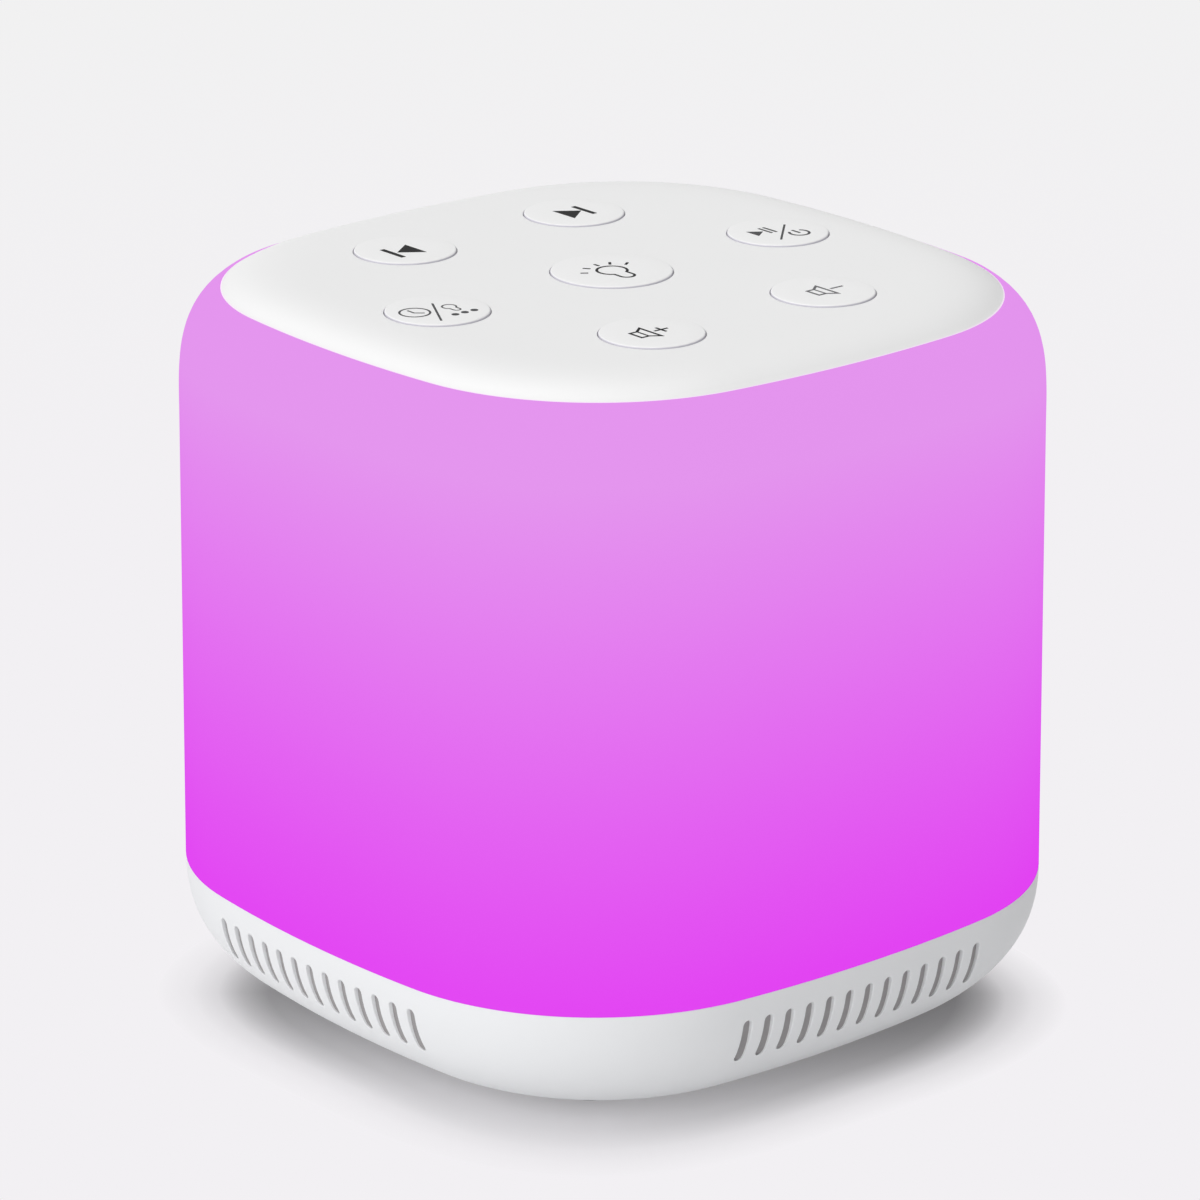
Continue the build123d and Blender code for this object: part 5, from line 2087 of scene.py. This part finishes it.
@dataclass
class Symbols:
    """The generic symbols printed on the keys, drawn in millimetres."""

    cap: KeyCap
    line: float = 0.36
    fine: float = 0.28
    bold: float = 0.72
    minus: Path = ((1.35, 0.14), (3.4, 0.14))
    plus: tuple[Path, ...] = (((0.45, 0.08), (2.6, 0.08)), ((1.52, 1.1), (1.52, -0.95)))
    hands: Path = ((-3.1, 2.1), (-3.1, 0.75), (-2.1, -0.1))
    dots: Place = (0.45, 1.95, 3.45)
    rays: tuple[Path, ...] = (
        ((-4.05, 1.3), (-3.25, 0.72)),
        ((-2.4, 2.85), (-1.8, 2.05)),
        ((-0.1, 3.35), (-0.1, 2.35)),
        ((1.4, 1.97), (2.05, 2.83)),
        ((2.87, 0.65), (3.75, 1.3)),
    )

    def drawing(self, key: KeyName) -> tuple[Finish, list[Path], list[Stroke]]:
        """Draw a key's symbol.

        Args:
            key: The key that carries it.

        Returns:
            The ink, the outlines of the filled shapes, and path, width and closure of each stroke.
        """
        line, fine, bold = self.line, self.fine, self.bold
        match key:
            case KeyName.PREVIOUS:
                arrow = [(-1.75, -0.6), (1.3, -2.85), (1.3, 1.65)]
                return INK_DARK, [bar(-2.45, -2.85, 1.7, bold), arrow], []
            case KeyName.NEXT:
                arrow = [(-1.95, -2.5), (1.1, -0.15), (-1.95, 2.1)]
                return INK_DARK, [arrow, bar(1.58, -2.4, 2.1, bold)], []
            case KeyName.PLAY_POWER:
                fills = [[(-3.3, -0.05), (-1.5, 1.22), (-3.3, 2.5)], bar(1.8, -2.3, -0.7, line)]
                fills += [bar(x, 0.0, 2.7, line) for x in (-1.0, -0.22)]
                slash = ([(-2.25, -3.15), (2.9, 1.97)], fine, False)
                return INK_GREY, fills, [slash, (arc((1.8, -2.15), 1.3, 130, 410, 30), line, False)]
            case KeyName.LIGHT:
                lamp = (bulb((-0.1, -0.2), 1.95, 1.0, 2.9), line, True)
                return INK_DARK, [], [lamp, *((ray, line, False) for ray in self.rays)]
            case KeyName.TIMER:
                strokes = [(arc((-2.93, 0.83), 1.92, 0, 350, 35), fine, True)]
                strokes += [(self.hands, fine, False), ([(-2.6, -4.05), (1.24, 2.6)], fine, False)]
                strokes += [(bulb((2.0, 0.2), 0.9, 0.5, 1.5), fine * 0.8, True)]
                return INK_GREY, [arc((x, -3.0), 0.5, 0, 345, 23) for x in self.dots], strokes
            case KeyName.VOLUME_UP:
                fills, strokes = speaker(-0.14, line, fine)
                return INK_DARK, fills, strokes + [(path, line, False) for path in self.plus]
            case KeyName.VOLUME_DOWN:
                fills, strokes = speaker(0.73, line, fine)
                return INK_PALE, fills, [*strokes, (self.minus, line, False)]

    def build(self) -> None:
        """Print every key's symbol."""
        for key in KeyName:
            finish, fills, strokes = self.drawing(key)
            art = Print(self.cap, key)
            for outline in fills:
                art.fill(outline)
            for path, width, closed in strokes:
                art.stroke(path, width, closed)
            place(art.shell.build(f"symbol_{key.label}"), f"{key.label}_key", finish)


# ---- inside
@dataclass
class Spider:
    """The speaker's corrugated suspension, whose inner edge meets the coil."""

    inner: Point = (5.15 * MM, 26.68 * MM)
    outer: Point = (11.48 * MM, 27.32 * MM)
    waves: int = 5
    swell: float = 0.11 * MM
    thickness: float = 0.12 * MM
    steps: int = 60
    sides: int = 64

    def build(self) -> None:
        """Build the ring of cloth between basket and coil."""
        middle = []
        for share in spaced(0.0, 1.0, self.steps):
            radius, z = mixed(self.inner, self.outer, share)
            middle.append((radius, z + self.swell * sin(2 * pi * self.waves * share)))
        half = self.thickness / 2
        profile = [(r, z + half) for r, z in middle] + [(r, z - half) for r, z in reversed(middle)]
        shell = Shell()
        shell.lathe([*profile, profile[0]], steps=self.sides)
        piece = shell.build("corrugated_spider")
        start, end = ((0.0, 0.0, z) for _, z in (self.outer, self.inner))
        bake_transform(piece)
        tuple(start)
        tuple(end)
        place(piece, None, SPIDER, "speaker_spider")


class Inside:
    """The nodes of the frame that keep their own meshes and bodies."""

    def build(self) -> None:
        """Give each of them its finish."""
        for name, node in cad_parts.items():
            if not node.hide_render:
                place(node, None, NODE_FINISHES[name])


# ---- studio
@dataclass
class Studio:
    """Pale floor with a painted contact shadow, plain soft light and the camera."""

    image_size: float = 1200.0
    focal_pixels: float = 5876.4
    sensor: float = 36.0
    clip: Point = (0.01, 50.0)
    azimuth: float = -0.6996
    elevation: float = 0.34
    distance: float = 761.6 * MM
    target_z: float = 49.53 * MM
    yaw: float = 0.00205
    pitch: float = -0.0068
    floor_half: float = 6.0
    floor_colour: Colour = linear(242, 240, 243)
    floor_bounce: Colour = (0.9, 0.9, 0.9)
    backdrop: Colour = linear(241, 241, 241)
    backdrop_reach: Point = (0.2, 0.6)
    world_level: float = 0.23
    lamps: tuple[tuple[str, float, Place], ...] = (
        ("key", 1.24, (0.866, 0.0, -0.5)),
        ("top", 1.27, (0.0, -0.26, -0.966)),
        ("fill", 0.65, (0.644, 0.765, -0.35)),
    )
    lamp_spread: float = radians(50)
    # The side and shadow settings below shape the floor's painted contact shadow.
    side_way: Point = (0.765, -0.644)
    side_reach: float = 57 * MM
    side_shift: float = 1.7 * MM
    side_power: Place = (0.0, 0.85, 0.45)
    side_skew: float = 0.15
    squareness: float = 3.0
    shadow_reach: Point = (36 * MM, 52 * MM)
    shadow_stops: tuple[Point, ...] = (
        (0.0, 0.48), (0.2, 0.5), (0.38, 0.67), (0.56, 0.88), (0.75, 0.96), (1.0, 1.0)
    )

    @staticmethod
    def facing(azimuth: float, elevation: float) -> Vector:
        """Return the unit vector from the machine towards a viewer."""
        flat = cos(elevation)
        return Vector((sin(azimuth) * flat, -cos(azimuth) * flat, sin(elevation)))

    def camera(self) -> None:
        """Make the camera and set it."""
        data = bpy.data.cameras.new("camera")
        data.sensor_width = self.sensor
        data.lens = self.focal_pixels / self.image_size * self.sensor
        data.clip_start, data.clip_end = self.clip
        camera = linked("camera", data)
        where = self.facing(self.azimuth, self.elevation) * self.distance
        back = self.facing(self.azimuth + self.yaw, self.elevation + self.pitch)
        right = (-back).cross(Vector((0, 0, 1))).normalized()
        axes = Matrix((right, right.cross(-back), back)).transposed().to_4x4()
        camera.matrix_world = Matrix.Translation(where + Vector((0, 0, self.target_z))) @ axes
        bpy.context.scene.camera = camera

    def floor(self) -> None:
        """Lay the floor: close to the machine it shows a painted contact shadow mixed with the real
        one, and beyond it is plain.
        """
        shell = Shell()
        half = self.floor_half
        shell.faces.append(tuple(shell.level(bar(0.0, -half, half, 2 * half), 0.0)))
        floor = shell.build("floor")
        tree = ShadeTree("floor")
        x, y, _ = tree.axes()
        lateral, side = self.side_shares(x, y)
        power = self.squareness
        out = (abs(x) ** power + abs(y) ** power) ** (1 / power)
        out = out - side * (side > 0) * self.side_shift
        near, far = self.shadow_reach
        stops = [(at, (level,) * 3) for at, level in self.shadow_stops]
        # Painted contact shadow: darker towards the machine along a ramp over the rounded-square
        # distance out.
        painted_contact_shadow = tree.ramp((out - near) / (far - near), stops) * 1.0
        base, slope, curve = self.side_power
        # ends paints the shadow darker at the left and right corners and lighter at the front and
        # rear ones.
        ends = painted_contact_shadow ** (base + side * (slope + curve * side) + lateral * self.side_skew)
        distance = tree.ranged(out, self.backdrop_reach)
        plain = tree.tint(self.floor_colour, self.backdrop, distance)
        # shaded is the plain floor colour with the painted shadow multiplied in.
        shaded = tree.tint(plain, painted_contact_shadow * ends, 1.0, "MULTIPLY")
        # The real lit floor's colour also takes the painted corner darkening and lightening.
        lit = tree.coloured("BsdfDiffuse", tree.tint(self.floor_colour, ends, 1.0, "MULTIPLY"))
        fade = tree.ranged(out, self.shadow_reach, 0.5, 1.0)
        seen = tree.either(fade, lit, tree.coloured("Emission", shaded))
        bounce = tree.coloured("BsdfDiffuse", self.floor_bounce)
        material = tree.close(tree.either(tree.ray("Diffuse"), seen, bounce), glows=True)
        floor.data.materials.append(material)
        floor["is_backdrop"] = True

    def side_shares(self, x: Shade, y: Shade) -> tuple[Shade, Shade]:
        """Return how far a place lies towards the left and right corners.

        Args:
            x: X of the floor's point.
            y: Y of the floor's point.

        Returns:
            A share from -1 at the left corner to 1 at the right one, and a share that is 1 at
            both and -1 at the front and rear corners.
        """
        along, across = self.side_way
        lateral = (x * along + y * across) / self.side_reach
        forward = (y * along - x * across) / self.side_reach
        return lateral, abs(lateral) - abs(forward)

    def light(self) -> None:
        """Set the world and the broad, soft lamps."""
        scene = bpy.context.scene
        scene.world = bpy.data.worlds.new("studio")
        scene.world.use_nodes = True
        tree = Tree(scene.world.node_tree)
        ambient = tree.coloured("Background", (1.0, 1.0, 1.0), Strength=self.world_level)
        pale = tree.coloured("Background", self.backdrop)
        seen = tree.ray("Camera").larger(tree.ray("Glossy")).larger(tree.ray("Transmission"))
        mix = tree.either(seen, ambient, pale)
        tree.node("ShaderNodeOutputWorld", inputs={"Surface": mix})
        for name, level, way in self.lamps:
            sun = bpy.data.lights.new(name, "SUN")
            sun.energy = level
            sun.angle = self.lamp_spread
            lamp = linked(name, sun)
            lamp.rotation_euler = Vector(way).to_track_quat("-Z", "Y").to_euler()
        scene.view_settings.view_transform = "Standard"

    def build(self) -> None:
        """Set up camera, floor and light."""
        self.camera()
        self.floor()
        self.light()


def corners(box: tuple[Vector, Vector]) -> list[list[float]]:
    """Return a box's two corners as plain lists."""
    return [list(corner) for corner in box]


def main() -> None:
    """Build the machine, dress it and set up the studio."""
    logging.basicConfig(level=logging.INFO, format="%(name)s: %(message)s")
    form = Form()
    base = Base(form)
    base.build()
    SlotCloth(base).build()
    Feet(base).build()
    Screws("case_screws", CASE_SCREW, head_up=False).build()
    Screws("key_board_screws", head_up=False).build()
    for node in ("led_board_screws", "speaker_screws", "chamber_screws", "main_board_screws"):
        Screws(node).build()
    Diffuser(form).build()
    panel = KeyPanel(form)
    panel.build()
    cap = KeyCap(panel)
    for key in KeyName:
        cap.build(key)
    Symbols(cap).build()
    Spider().build()
    Inside().build()
    Studio().build()
    sizes = {"cad": corners(CAD_BOX), "visual": corners(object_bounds())}
    log.info("sizes in metres: %s", sizes)


if __name__ == "__main__":
    main()
